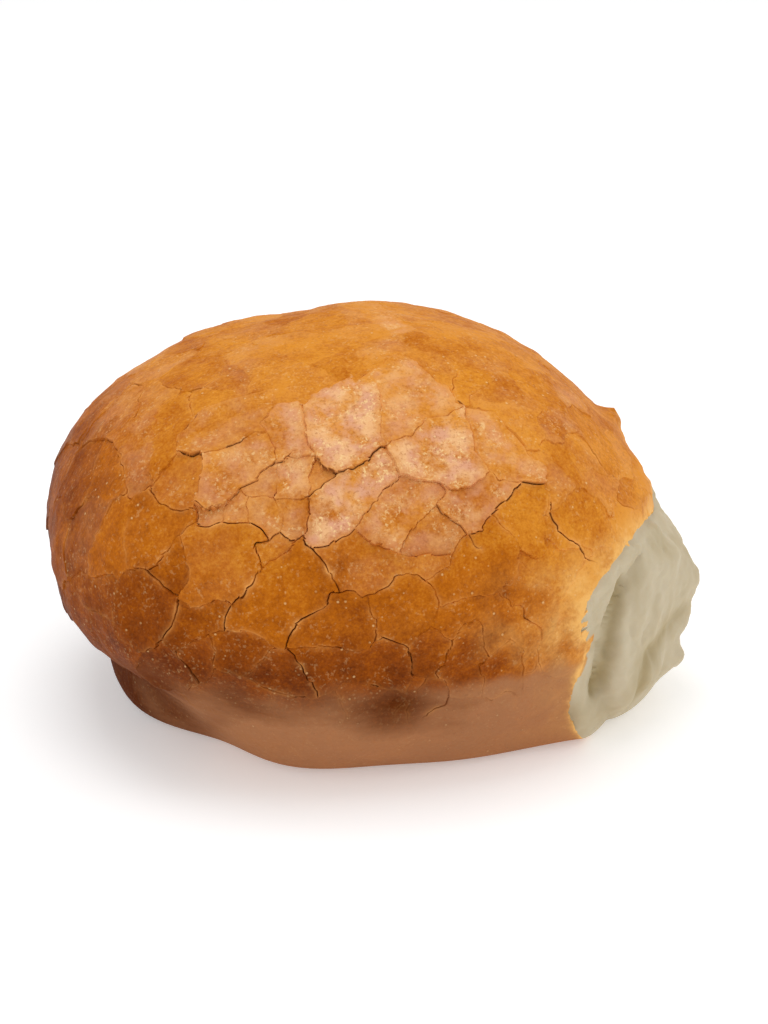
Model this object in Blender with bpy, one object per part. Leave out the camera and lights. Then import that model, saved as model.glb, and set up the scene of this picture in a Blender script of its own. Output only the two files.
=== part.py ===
"""A tall round bread loaf, baked as one piece, with one front corner torn open.

The loaf is one solid that lies on its flat base. Its surface is where a field of
distance-like values passes through zero. The field joins a domed body, a short
neck that stands out at the torn corner and a small ear of crust behind the neck.
A curved tear then cuts the neck, and a lumpy mound of crumb stands out of it.
The points of a subdivided sphere are moved along their own directions until each
one lies on that surface.

Lengths are in metres, +X runs along the loaf, +Y to its back and +Z up.
"""

import math

import bmesh
import bpy
import numpy as np
from mathutils import Vector

MM = 0.001

# Body: a rounded box-like oval in plan, an arch in height, widest at the waist.
BODY_CENTRE_X = -4.0 * MM
REACH_LEFT = 103.5 * MM
REACH_RIGHT = 87.0 * MM
REACH_FRONT = 85.0 * MM
REACH_BACK = 78.0 * MM
WAIST_HEIGHT = 59.0 * MM
RISE_ABOVE_WAIST = 63.5 * MM
DROP_BELOW_WAIST = 94.0 * MM
PLAN_POWER = 2.35
SIDE_POWER = 2.05
CROWN_FALL_TO_RIGHT = 0.165
BODY_SCALE = 78.0 * MM

# Tear: an upright frame whose first axis faces out of the torn corner.
TEAR_AZIMUTH = math.radians(-37.0)
TEAR_OUT = (math.cos(TEAR_AZIMUTH), math.sin(TEAR_AZIMUTH))
TEAR_ALONG = (-math.sin(TEAR_AZIMUTH), math.cos(TEAR_AZIMUTH))
TEAR_DISTANCE = 80.5 * MM
TEAR_LEAN_PER_M = 5.0
TEAR_LEAN_START = 22.0 * MM
TEAR_BACK_PER_M = 15.0
TEAR_BACK_START = 14.0 * MM
TEAR_BACK_RUN = 33.0 * MM

# Neck and ear: blunt prisms along the tear's first axis.
NECK_ALONG = 14.0 * MM
NECK_HEIGHT = 30.0 * MM
NECK_HALF_WIDTH = 40.0 * MM
NECK_HALF_RISE = 35.0 * MM
NECK_POWER = 3.0
NECK_SCALE = 34.0 * MM
NECK_FILLET = 16.0 * MM
EAR_ALONG = 36.0 * MM
EAR_HEIGHT = 73.0 * MM
EAR_HALF_WIDTH = 13.0 * MM
EAR_HALF_RISE = 14.5 * MM
EAR_POWER = 4.0
EAR_SCALE = 16.0 * MM
EAR_FILLET = 3.0 * MM
PRISM_START = 30.0 * MM
SHOULDER_SLOPE = 0.29
SHOULDER_HEIGHT = 81.0 * MM
NECK_SHOULDER_REACH = 72.5 * MM
NECK_SHOULDER_FOOT = 66.0 * MM
NECK_SHOULDER_FLARE = 1.3
EAR_SHOULDER_REACH = 67.0 * MM

# Crumb: a mound that stands out of the tear, with a few lumps and hollows on it.
MOUND_RISE = 14.0 * MM
MOUND_ALONG = 14.0 * MM
MOUND_HEIGHT = 32.0 * MM
MOUND_HALF_WIDTH = 38.0 * MM
MOUND_HALF_RISE = 36.0 * MM
MOUND_POWER = 0.65
MOUND_RIM_DIP = 4.0 * MM
# (along the tear, height, half width, half height, rise), in millimetres
CRUMB_LUMPS = (
    (26.0, 46.0, 10.0, 8.0, 7.0),
    (20.0, 14.0, 7.0, 5.0, 6.0),
    (16.0, 29.0, 8.0, 6.0, -1.5),
    (-8.0, 40.0, 5.0, 18.0, -3.5),
    (-16.0, 12.0, 8.0, 8.0, 3.0),
    (0.0, 18.0, 8.0, 8.0, 2.0),
)

# Swellings (+) and hollows (-) of the crust: (azimuth in degrees, height,
# half width, half height, rise), in millimetres.
CRUST_SWELLS = (
    (-148.0, 4.0, 26.0, 22.0, -7.0),
    (-172.0, 28.0, 40.0, 13.0, -4.0),
    (-106.0, 0.0, 24.0, 12.0, -2.0),
    (-55.0, 0.0, 26.0, 12.0, 2.5),
    (60.0, 60.0, 60.0, 40.0, -3.0),
)
SWELL_RADIUS = 80.0 * MM

# Base: flat where the dough lay, with a rounded edge.
BASE_EDGE_ROUND = 5.0 * MM
TEAR_EDGE_ROUND = 1.2 * MM
FLAT_BASE_WITHIN = 0.02 * MM

SPHERE_SUBDIVISIONS = 5
SPHERE_CENTRE = (0.0, 0.0, 55.0 * MM)
FARTHEST = 170.0 * MM
HALVINGS = 30
FINER_BEYOND_TEAR = -6.0 * MM
SHARP_EDGE = math.radians(38.0)

CRUST_COLOUR = (0.51, 0.19, 0.042, 1.0)
CRUST_ROUGHNESS = 0.48
CRUMB_COLOUR = (0.55, 0.49, 0.36, 1.0)
CRUMB_ROUGHNESS = 0.85


def clear_scene():
    """Remove every object of the scene."""
    for obj in list(bpy.data.objects):
        bpy.data.objects.remove(obj, do_unlink=True)


def smooth_max(first, second, width):
    """The greater of two fields, rounded where they differ by less than the width."""
    share = np.clip(0.5 + 0.5 * (first - second) / width, 0.0, 1.0)
    return second * (1.0 - share) + first * share + width * share * (1.0 - share)


def smooth_min(first, second, width):
    """The smaller of two fields, rounded where they differ by less than the width."""
    return -smooth_max(-first, -second, width)


def norm(first, second, power):
    """The length of a pair of values under a rounded-box norm."""
    return (np.abs(first) ** power + np.abs(second) ** power) ** (1.0 / power)


def bell(distance, height, half_width, half_height):
    """A bell-shaped weight over a distance and a height."""
    return np.exp(-((distance / half_width) ** 2) - (height / half_height) ** 2)


def tear_frame(points):
    """Each point's distance out of the tear, its place along the tear and its height."""
    outward = points[:, 0] * TEAR_OUT[0] + points[:, 1] * TEAR_OUT[1]
    along = points[:, 0] * TEAR_ALONG[0] + points[:, 1] * TEAR_ALONG[1]
    return outward, along, points[:, 2]


def crust_swell(points):
    """How far the crust stands out of the plain body at each point."""
    azimuth = np.degrees(np.arctan2(points[:, 1], points[:, 0]))
    total = np.zeros(len(points))
    for centre, height, half_width, half_height, rise in CRUST_SWELLS:
        turn = (azimuth - centre + 180.0) % 360.0 - 180.0
        distance = np.radians(turn) * SWELL_RADIUS
        weight = bell(distance, points[:, 2] - height * MM, half_width * MM, half_height * MM)
        total += rise * MM * weight
    return total


def body_field(points):
    """Below zero inside the domed body."""
    from_centre = points[:, 0] - BODY_CENTRE_X
    half_length = np.where(from_centre < 0.0, REACH_LEFT, REACH_RIGHT)
    half_depth = np.where(points[:, 1] < 0.0, REACH_FRONT, REACH_BACK)
    plan = norm(from_centre / half_length, points[:, 1] / half_depth, PLAN_POWER)
    to_right = np.clip(from_centre / REACH_RIGHT, 0.0, 2.0)
    rise = RISE_ABOVE_WAIST * (1.0 - CROWN_FALL_TO_RIGHT * to_right**2)
    above = points[:, 2] - WAIST_HEIGHT
    half_height = np.where(above > 0.0, rise, DROP_BELOW_WAIST)
    level = norm(plan, above / half_height, SIDE_POWER) - 1.0
    return level * BODY_SCALE - crust_swell(points)


def shoulder_field(outward, height, reach):
    """Below zero under the slope that a prism's top falls along as it goes outward."""
    return outward + SHOULDER_SLOPE * (height - SHOULDER_HEIGHT) - reach


def neck_field(outward, along, height):
    """Below zero inside the neck."""
    across = (along - NECK_ALONG) / NECK_HALF_WIDTH
    up = (height - NECK_HEIGHT) / NECK_HALF_RISE
    wall = (norm(across, up, NECK_POWER) - 1.0) * NECK_SCALE
    shoulder = shoulder_field(outward, height, NECK_SHOULDER_REACH)
    flare = NECK_SHOULDER_FLARE * np.maximum(NECK_SHOULDER_FOOT - height, 0.0)
    return np.maximum(np.maximum(wall, PRISM_START - outward), shoulder - flare)


def ear_field(outward, along, height):
    """Below zero inside the ear of crust behind the neck."""
    across = (along - EAR_ALONG) / EAR_HALF_WIDTH
    up = (height - EAR_HEIGHT) / EAR_HALF_RISE
    wall = (norm(across, up, EAR_POWER) - 1.0) * EAR_SCALE
    shoulder = shoulder_field(outward, height, EAR_SHOULDER_REACH)
    return np.maximum(np.maximum(wall, PRISM_START - outward), shoulder)


def tear_reach(along, height):
    """How far out the crust ends at the tear, for a place along it and a height."""
    share = np.clip((along - 12.0 * MM) / (22.0 * MM), 0.0, 1.0)
    front = 1.0 - share * share * (3.0 - 2.0 * share)
    lean = TEAR_LEAN_PER_M * np.clip(height - TEAR_LEAN_START, 0.0, 60.0 * MM) ** 2 * front
    back = TEAR_BACK_PER_M * np.clip(along - TEAR_BACK_START, 0.0, TEAR_BACK_RUN) ** 2
    return TEAR_DISTANCE + lean - back


def crumb_reach(along, height):
    """How far out the crumb stands, for a place along the tear and a height."""
    across = (along - MOUND_ALONG) / MOUND_HALF_WIDTH
    up = (height - MOUND_HEIGHT) / MOUND_HALF_RISE
    ring = across**2 + up**2
    reach = tear_reach(along, height)
    reach += MOUND_RISE * np.clip(1.0 - ring, 0.0, 1.0) ** MOUND_POWER
    reach -= MOUND_RIM_DIP * np.clip(ring - 1.0, 0.0, 1.0)
    for place, level, half_width, half_height, rise in CRUMB_LUMPS:
        weight = bell(along - place * MM, height - level * MM, half_width * MM, half_height * MM)
        reach += rise * MM * weight
    return reach


def loaf_field(points):
    """Below zero inside the whole loaf."""
    outward, along, height = tear_frame(points)
    crust = smooth_min(body_field(points), neck_field(outward, along, height), NECK_FILLET)
    crust = smooth_min(crust, ear_field(outward, along, height), EAR_FILLET)
    torn = smooth_max(crust, outward - crumb_reach(along, height), TEAR_EDGE_ROUND)
    return smooth_max(torn, -height, BASE_EDGE_ROUND)


def cast_to_surface(directions):
    """The point of the loaf's surface in each direction from the centre, found by halving."""
    centre = np.array(SPHERE_CENTRE)
    near = np.zeros(len(directions))
    far = np.full(len(directions), FARTHEST)
    for _ in range(HALVINGS):
        middle = (near + far) / 2.0
        inside = loaf_field(centre + directions * middle[:, None]) < 0.0
        near = np.where(inside, middle, near)
        far = np.where(inside, far, middle)
    points = centre + directions * near[:, None]
    points[points[:, 2] < FLAT_BASE_WITHIN, 2] = 0.0
    return points


def cast_vertices(shape):
    """Move every vertex of the mesh along its direction onto the loaf's surface."""
    centre = Vector(SPHERE_CENTRE)
    directions = np.array([(vertex.co - centre).normalized()[:] for vertex in shape.verts])
    for vertex, point in zip(shape.verts, cast_to_surface(directions)):
        vertex.co = point


def past_tear(point):
    """How far a point lies past the end of the crust at the tear."""
    outward, along, height = tear_frame(np.array([point[:]]))
    return float(outward[0] - tear_reach(along, height)[0])


def refine_tear(shape):
    """Halve the edges of the faces around the tear, where the shape is most detailed."""
    faces = [face for face in shape.faces if past_tear(face.calc_center_median()) > FINER_BEYOND_TEAR]
    edges = list({edge for face in faces for edge in face.edges})
    bmesh.ops.subdivide_edges(shape, edges=edges, cuts=1, use_grid_fill=True)
    bmesh.ops.triangulate(shape, faces=shape.faces[:])


def centre_on_base(shape):
    """Move the loaf so that the middle of its box stands over the origin."""
    low = [min(vertex.co[axis] for vertex in shape.verts) for axis in range(2)]
    high = [max(vertex.co[axis] for vertex in shape.verts) for axis in range(2)]
    shift = Vector((-(low[0] + high[0]) / 2.0, -(low[1] + high[1]) / 2.0, 0.0))
    bmesh.ops.translate(shape, verts=shape.verts[:], vec=shift)


def new_material(name, colour, roughness):
    """A plain Principled material."""
    material = bpy.data.materials.new(name)
    material.use_nodes = True
    shader = material.node_tree.nodes["Principled BSDF"]
    shader.inputs["Base Color"].default_value = colour
    shader.inputs["Roughness"].default_value = roughness
    shader.inputs["Metallic"].default_value = 0.0
    material.diffuse_color = colour
    return material


def make_loaf():
    """The whole loaf as one closed mesh, with crust and crumb in their own colours."""
    shape = bmesh.new()
    bmesh.ops.create_icosphere(shape, subdivisions=SPHERE_SUBDIVISIONS, radius=FARTHEST)
    bmesh.ops.translate(shape, verts=shape.verts[:], vec=Vector(SPHERE_CENTRE))
    cast_vertices(shape)
    refine_tear(shape)
    cast_vertices(shape)
    for face in shape.faces:
        face.material_index = int(past_tear(face.calc_center_median()) > 0.0)
    centre_on_base(shape)
    bmesh.ops.recalc_face_normals(shape, faces=shape.faces[:])
    mesh = bpy.data.meshes.new("loaf")
    shape.to_mesh(mesh)
    shape.free()
    mesh.materials.append(new_material("crust", CRUST_COLOUR, CRUST_ROUGHNESS))
    mesh.materials.append(new_material("crumb", CRUMB_COLOUR, CRUMB_ROUGHNESS))
    mesh.shade_smooth()
    mesh.set_sharp_from_angle(angle=SHARP_EDGE)
    loaf = bpy.data.objects.new("loaf", mesh)
    bpy.context.scene.collection.objects.link(loaf)


clear_scene()
make_loaf()
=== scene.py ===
"""A bread loaf with a cracked, flaky crust and one torn corner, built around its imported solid.

The loaf is one closed surface. Its plain shape is where a field passes through zero,
as in the solid. Points of that surface are gathered along the cracks between the
crust's flakes and along the torn edge, and evenly elsewhere, and are joined into
triangles. Each point is then lifted or sunk by the relief of its flake, crack, torn
edge or crumb, and carries the values that its finish is coloured by.
"""

import logging
import math
from dataclasses import dataclass, field, fields
from enum import Enum
from typing import Any, Callable, Sequence

import bpy
import numpy as np
from mathutils import Matrix, Vector
from mathutils.geometry import delaunay_2d_cdt


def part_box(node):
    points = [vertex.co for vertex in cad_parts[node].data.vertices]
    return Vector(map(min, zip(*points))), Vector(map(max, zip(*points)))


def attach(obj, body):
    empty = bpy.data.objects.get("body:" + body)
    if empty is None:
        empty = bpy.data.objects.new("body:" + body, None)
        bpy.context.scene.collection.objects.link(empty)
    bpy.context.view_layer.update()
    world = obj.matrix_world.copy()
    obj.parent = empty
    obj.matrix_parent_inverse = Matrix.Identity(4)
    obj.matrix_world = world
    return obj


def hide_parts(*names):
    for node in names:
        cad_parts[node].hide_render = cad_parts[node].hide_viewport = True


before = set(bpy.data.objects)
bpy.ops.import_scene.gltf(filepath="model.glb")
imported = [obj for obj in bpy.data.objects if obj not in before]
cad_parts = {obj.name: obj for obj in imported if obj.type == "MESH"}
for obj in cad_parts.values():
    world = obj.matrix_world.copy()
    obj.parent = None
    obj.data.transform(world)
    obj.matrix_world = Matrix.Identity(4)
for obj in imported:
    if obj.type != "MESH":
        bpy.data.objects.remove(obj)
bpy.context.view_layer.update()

Array = np.ndarray
Corners = tuple[Sequence[float], Sequence[float]]
Tint = tuple[float, float, float, float]
Places = tuple[tuple[float, float], ...]
LOG = logging.getLogger("loaf")

MM = 0.001
NODE = "loaf"
FAR = 99.0
MOST_DISTANCES = 8_000_000


# --------------------------------------------------------------------------- numbers


def ramp(values: Array | float, start: float, end: float) -> Array:
    """A smooth step from 0 at the start to 1 at the end: 3t^2 - 2t^3 of the share passed."""
    share = np.clip((values - start) / (end - start), 0.0, 1.0)
    return share * share * (3.0 - 2.0 * share)


def smooth_max(first: Array, second: Array, width: float) -> Array:
    """The greater of two fields, rounded where they differ by less than the width."""
    share = np.clip(0.5 + 0.5 * (first - second) / width, 0.0, 1.0)
    return second * (1.0 - share) + first * share + width * share * (1.0 - share)


def smooth_min(first: Array, second: Array, width: float) -> Array:
    """The smaller of two fields, rounded where they differ by less than the width."""
    return -smooth_max(-first, -second, width)


def norm(first: Array, second: Array, power: float) -> Array:
    """The length of a pair of values under a rounded-box norm."""
    return (np.abs(first) ** power + np.abs(second) ** power) ** (1.0 / power)


def bell(distance: Array, height: Array, half_width: float, half_height: float) -> Array:
    """A bell-shaped weight over a distance and a height."""
    return np.exp(-((distance / half_width) ** 2) - (height / half_height) ** 2)


def unit(vectors: Array) -> Array:
    """Each vector at length one."""
    return vectors / np.maximum(np.linalg.norm(vectors, axis=1, keepdims=True), 1e-12)


def dot(first: Array, second: Array) -> Array:
    """Row by row dot product."""
    return np.einsum("ij,ij->i", first, second)


def turn_between(azimuth: Array, centre: float) -> Array:
    """Degrees from a centre azimuth to each azimuth, between -180 and 180."""
    return (azimuth - centre + 180.0) % 360.0 - 180.0


def nearest_of(points: Array, targets: Array) -> tuple[Array, Array]:
    """The nearest target of each point, worked out in parts that fit in memory.

    Args:
        points: Places in millimetres.
        targets: The places that may be nearest.

    Returns:
        Each point's distance to its nearest target, and that target's index.
    """
    parts = np.array_split(points, max(1, len(points) * len(targets) // MOST_DISTANCES))
    away, index = [], []
    for part in parts:
        square = (targets**2).sum(axis=1) - 2.0 * part @ targets.T
        index.append(square.argmin(axis=1))
        least = square[np.arange(len(part)), index[-1]] + (part**2).sum(axis=1)
        away.append(np.sqrt(np.maximum(least, 0.0)))
    return np.concatenate(away), np.concatenate(index)


def distance_to(points: Array, targets: Array) -> Array:
    """Distance from each point to the nearest target."""
    return nearest_of(points, targets)[0]


def spiral_directions(count: int) -> Array:
    """Evenly spread directions: points of a golden-angle spiral over the unit sphere.

    Args:
        count: How many.

    Returns:
        Directions of length one.
    """
    index = np.arange(count) + 0.5
    height = 1.0 - 2.0 * index / count
    radius = np.sqrt(1.0 - height * height)
    angle = index * math.pi * (1.0 + math.sqrt(5.0))
    return np.stack([radius * np.cos(angle), radius * np.sin(angle), height], axis=1)


@dataclass(frozen=True)
class Waves:
    """Smooth irregular values in space: the sum of plane waves in seeded random directions.

    Attributes:
        seed: Chooses the directions, lengths and phases.
        length: The typical wave length, in millimetres.
        count: How many waves are summed.
    """

    seed: int
    length: float
    count: int = 18

    def at(self, points: Array) -> Array:
        """Values of about unit spread at each point.

        Args:
            points: Places in millimetres.

        Returns:
            One value for each point.
        """
        source = np.random.default_rng(self.seed)
        direction = unit(source.normal(size=(self.count, 3)))
        pitch = 2.0 * math.pi / (self.length * source.uniform(0.7, 1.45, self.count))
        phase = source.uniform(0.0, 2.0 * math.pi, self.count)
        turns = points @ (direction * pitch[:, None]).T + phase
        return np.cos(turns).sum(axis=1) * math.sqrt(2.0 / self.count)


@dataclass(frozen=True)
class Warp:
    """A wandering shift in space: waves of several lengths along each axis.

    Attributes:
        seed: Chooses the waves.
        octaves: Pairs of a wave length and the shift it gives, in millimetres.
    """

    seed: int
    octaves: tuple[tuple[float, float], ...]

    def at(self, points: Array) -> Array:
        """Each point moved by the warp.

        Args:
            points: Places in millimetres.

        Returns:
            The moved points.
        """
        shift = np.zeros_like(points)
        for step, (length, reach) in enumerate(self.octaves):
            for axis in range(3):
                waves = Waves(self.seed + 31 * step + 7 * axis, length, 12)
                shift[:, axis] += reach * waves.at(points)
        return points + shift


# --------------------------------------------------------------------------- plain shape


@dataclass(frozen=True)
class Swell:
    """A soft swelling (+) or hollow (-) of the crust, in degrees and millimetres."""

    azimuth: float
    height: float
    half_width: float
    half_height: float
    rise: float


@dataclass(frozen=True)
class Lump:
    """A lump (+) or hollow (-) of the crumb, placed along the tear and by height."""

    along: float
    height: float
    half_width: float
    half_height: float
    rise: float


@dataclass(frozen=True)
class Fold:
    """A crease (-) or ridge (+) of the crumb.

    Attributes:
        route: Places along the tear, each with its height, that the fold runs through.
        half_width: How far from the route the fold fades, in millimetres.
        rise: How far it stands out (+) or in (-), in millimetres.
    """

    route: Places
    half_width: float
    rise: float

    def weight(self, along: Array, height: Array) -> Array:
        """1 in the fold's middle, falling to 0 beside it.

        Args:
            along: Places along the tear.
            height: Their heights.

        Returns:
            A weight for each place.
        """
        places = np.stack([along, height], axis=1)
        away = np.full(len(places), FAR)
        knots = np.array(self.route)
        for start, end in zip(knots[:-1], knots[1:]):
            step = end - start
            share = np.clip((places - start) @ step / (step @ step), 0.0, 1.0)
            away = np.minimum(away, np.linalg.norm(places - start - share[:, None] * step, axis=1))
        return np.exp(-((away / self.half_width) ** 2))


@dataclass
class LoafForm:
    """The loaf's plain shape, in millimetres: a field that is below zero inside it.

    The domed body, the neck behind the tear and the small ear above it are joined softly,
    then cut by the crumb's face and by the flat base. Reaches run out of the body's middle,
    and the tear has its own frame: out of it, along it and up.
    """

    body_centre: float = -4.0
    reach_left: float = 103.5
    reach_right: float = 87.0
    reach_front: float = 85.0
    reach_back: float = 78.0
    waist: float = 59.0
    rise: float = 63.5
    drop: float = 94.0
    plan_power: float = 2.35
    side_power: float = 2.05
    crown_fall: float = 0.165
    body_scale: float = 78.0
    tear_azimuth: float = -37.0
    tear_distance: float = 80.5
    lean: float = 0.005
    lean_from: float = 22.0
    lean_span: float = 60.0
    lean_fade: tuple[float, float] = (12.0, 34.0)
    sweep: float = 0.015
    sweep_from: float = 14.0
    sweep_span: float = 33.0
    neck_along: float = 14.0
    neck_height: float = 30.0
    neck_half_width: float = 40.0
    neck_half_rise: float = 35.0
    neck_power: float = 3.0
    neck_scale: float = 34.0
    neck_slope: float = 72.5
    neck_blend: float = 16.0
    ear_along: float = 36.0
    ear_height: float = 73.0
    ear_half_width: float = 13.0
    ear_half_rise: float = 14.5
    ear_power: float = 4.0
    ear_scale: float = 16.0
    ear_slope: float = 67.0
    ear_blend: float = 3.0
    slope_lean: float = 0.29
    slope_height: float = 81.0
    flare: float = 1.3
    flare_height: float = 66.0
    prism_start: float = 30.0
    mound_rise: float = 14.0
    mound_along: float = 14.0
    mound_height: float = 32.0
    mound_half_width: float = 38.0
    mound_half_rise: float = 36.0
    mound_power: float = 0.65
    mound_foot: float = 4.0
    torn_depths: Places = (
        (1.0, 3.2), (6.0, 3.8), (12.0, 4.2), (16.0, 5.0), (24.0, 4.2), (29.0, 3.0),
        (36.0, 1.8), (40.0, 1.3), (45.0, 3.4), (52.0, 4.4), (58.0, 5.4), (66.0, 4.6),
    )
    torn_fade: tuple[float, float] = (38.0, 52.0)
    tear_blend: float = 1.2
    base_round: float = 5.0
    flat_below: float = 0.02
    centre_height: float = 55.0
    nearest: float = 30.0
    farthest: float = 150.0
    halvings: int = 20
    swell_radius: float = 80.0
    normal_reach: float = 0.15
    swells: tuple[Swell, ...] = (
        Swell(-148.0, 4.0, 26.0, 22.0, -7.0),
        Swell(-172.0, 21.5, 40.0, 12.0, -7.2),
        Swell(-106.0, 0.0, 24.0, 12.0, -2.0),
        Swell(-55.0, 0.0, 26.0, 12.0, 2.5),
        Swell(60.0, 60.0, 60.0, 40.0, -3.0),
    )
    lumps: tuple[Lump, ...] = (
        Lump(26.0, 42.0, 10.0, 9.5, 7.4),
        Lump(20.0, 14.0, 7.0, 5.0, 5.5),
        Lump(24.0, 26.5, 8.0, 7.0, 2.6),
        Lump(-16.0, 12.0, 8.0, 8.0, 3.0),
        Lump(0.0, 18.0, 8.0, 8.0, 2.0),
    )
    folds: tuple[Fold, ...] = (
        Fold(((-17.5, 56.0), (-19.5, 48.0), (-21.5, 40.0), (-22.5, 30.0), (-23.0, 20.0)), 2.1, -1.9),
        Fold(((-25.5, 43.0), (-24.0, 38.0), (-22.5, 33.0)), 1.6, -1.1),
        Fold(((0.0, 26.0), (8.0, 29.5), (16.0, 31.5)), 4.6, -1.3),
        Fold(((-5.0, 26.0), (-7.5, 20.0), (-7.5, 13.0)), 3.6, -1.2),
        Fold(((-18.5, 36.0), (-17.5, 25.0), (-14.5, 14.0), (-11.0, 5.0)), 2.2, 0.9),
    )

    @property
    def centre(self) -> Array:
        """The inner point that every point of the surface is seen from."""
        return np.array([0.0, 0.0, self.centre_height])

    def tear_frame(self, points: Array) -> tuple[Array, Array, Array]:
        """Distance out of the tear, place along it, and height, of each point.

        Args:
            points: Places in millimetres.

        Returns:
            The three, as three arrays.
        """
        angle = math.radians(self.tear_azimuth)
        outward = points[:, 0] * math.cos(angle) + points[:, 1] * math.sin(angle)
        along = -points[:, 0] * math.sin(angle) + points[:, 1] * math.cos(angle)
        return outward, along, points[:, 2]

    def azimuth(self, points: Array) -> Array:
        """Degrees round the loaf, from +X towards +Y."""
        return np.degrees(np.arctan2(points[:, 1], points[:, 0]))

    def swelling(self, points: Array) -> Array:
        """How far the crust stands out of the plain body.

        Args:
            points: Places in millimetres.

        Returns:
            Millimetres at each point.
        """
        azimuth = self.azimuth(points)
        total = np.zeros(len(points))
        for swell in self.swells:
            away = np.radians(turn_between(azimuth, swell.azimuth)) * self.swell_radius
            up = points[:, 2] - swell.height
            total += swell.rise * bell(away, up, swell.half_width, swell.half_height)
        return total

    def body(self, points: Array) -> Array:
        """The domed body: a rounded-box norm in plan, then one more against the height.

        Args:
            points: Places in millimetres.

        Returns:
            The field, below zero inside.
        """
        away = points[:, 0] - self.body_centre
        half_length = np.where(away < 0.0, self.reach_left, self.reach_right)
        half_depth = np.where(points[:, 1] < 0.0, self.reach_front, self.reach_back)
        plan = norm(away / half_length, points[:, 1] / half_depth, self.plan_power)
        to_right = np.clip(away / self.reach_right, 0.0, 2.0)
        above = points[:, 2] - self.waist
        rise = self.rise * (1.0 - self.crown_fall * to_right**2)
        half_height = np.where(above > 0.0, rise, self.drop)
        level = norm(plan, above / half_height, self.side_power) - 1.0
        return level * self.body_scale - self.swelling(points)

    def neck(self, outward: Array, along: Array, height: Array) -> Array:
        """The neck: a blunt prism out to the tear, under a slope that flares at its foot.

        Args:
            outward: Distances out of the tear.
            along: Places along it.
            height: Heights.

        Returns:
            The field, below zero inside.
        """
        across = (along - self.neck_along) / self.neck_half_width
        up = (height - self.neck_height) / self.neck_half_rise
        wall = (norm(across, up, self.neck_power) - 1.0) * self.neck_scale
        slope = outward + self.slope_lean * (height - self.slope_height) - self.neck_slope
        slope -= self.flare * np.maximum(self.flare_height - height, 0.0)
        return np.maximum(np.maximum(wall, self.prism_start - outward), slope)

    def ear(self, outward: Array, along: Array, height: Array) -> Array:
        """The ear of crust behind the neck: a small blunt prism under the same slope.

        Args:
            outward: Distances out of the tear.
            along: Places along it.
            height: Heights.

        Returns:
            The field, below zero inside.
        """
        across = (along - self.ear_along) / self.ear_half_width
        up = (height - self.ear_height) / self.ear_half_rise
        wall = (norm(across, up, self.ear_power) - 1.0) * self.ear_scale
        slope = outward + self.slope_lean * (height - self.slope_height) - self.ear_slope
        return np.maximum(np.maximum(wall, self.prism_start - outward), slope)

    def crust_reach(self, along: Array, height: Array) -> Array:
        """How far out the crust ends: its front leans out as it rises, its back sweeps in.

        Args:
            along: Places along the tear.
            height: Their heights.

        Returns:
            Distance out of the tear at each place.
        """
        front = 1.0 - ramp(along, *self.lean_fade)
        lean = self.lean * np.clip(height - self.lean_from, 0.0, self.lean_span) ** 2 * front
        back = self.sweep * np.clip(along - self.sweep_from, 0.0, self.sweep_span) ** 2
        return self.tear_distance + lean - back

    def torn_back(self, points: Array) -> Array:
        """How much further in than the crumb's face the crust is torn off, at the front."""
        _, along, height = self.tear_frame(points)
        heights, depths = np.array(self.torn_depths).T
        return np.interp(height, heights, depths) * (1.0 - ramp(along, *self.torn_fade))

    def creases(self, points: Array) -> tuple[Array, Array]:
        """What the crumb's folds do at each point.

        Args:
            points: Places on the crumb.

        Returns:
            How far the folds stand out there, and the depth of the deepest crease there.
        """
        _, along, height = self.tear_frame(points)
        weights = [fold.rise * fold.weight(along, height) for fold in self.folds]
        return sum(weights), np.max([np.maximum(-weight, 0.0) for weight in weights], axis=0)

    def crumb_reach(self, along: Array, height: Array) -> Array:
        """How far out the crumb stands: the crust's end, a mound over it, and its lumps.

        Args:
            along: Places along the tear.
            height: Their heights.

        Returns:
            Distance out of the tear at each place.
        """
        across = (along - self.mound_along) / self.mound_half_width
        up = (height - self.mound_height) / self.mound_half_rise
        ring = across**2 + up**2
        reach = self.crust_reach(along, height)
        reach += self.mound_rise * np.clip(1.0 - ring, 0.0, 1.0) ** self.mound_power
        reach -= self.mound_foot * np.clip(ring - 1.0, 0.0, 1.0)
        for lump in self.lumps:
            weight = bell(along - lump.along, height - lump.height, lump.half_width, lump.half_height)
            reach += lump.rise * weight
        return reach

    def level(self, points: Array) -> Array:
        """The whole loaf's field: body, neck and ear joined, then cut by tear and base.

        Args:
            points: Places in millimetres.

        Returns:
            The field, below zero inside.
        """
        outward, along, height = self.tear_frame(points)
        crust = smooth_min(self.body(points), self.neck(outward, along, height), self.neck_blend)
        crust = smooth_min(crust, self.ear(outward, along, height), self.ear_blend)
        torn = smooth_max(crust, outward - self.crumb_reach(along, height), self.tear_blend)
        return smooth_max(torn, -height, self.base_round)

    def past_tear(self, points: Array) -> Array:
        """How far each point lies past the crust's end: above zero on the crumb."""
        outward, along, height = self.tear_frame(points)
        return outward - self.crust_reach(along, height)

    def cast(self, directions: Array) -> Array:
        """The surface point in each direction from the centre, found by halving.

        Args:
            directions: Directions of length one.

        Returns:
            The points, those of the base exactly on it.
        """
        near = np.full(len(directions), self.nearest)
        far = np.full(len(directions), self.farthest)
        for _ in range(self.halvings):
            middle = (near + far) / 2.0
            inside = self.level(self.centre + directions * middle[:, None]) < 0.0
            near = np.where(inside, middle, near)
            far = np.where(inside, far, middle)
        points = self.centre + directions * near[:, None]
        points[:, 2] = np.where(points[:, 2] < self.flat_below, 0.0, points[:, 2])
        return points

    def settle(self, points: Array) -> Array:
        """Points moved along their own directions back onto the surface."""
        return self.cast(unit(points - self.centre))

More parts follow.
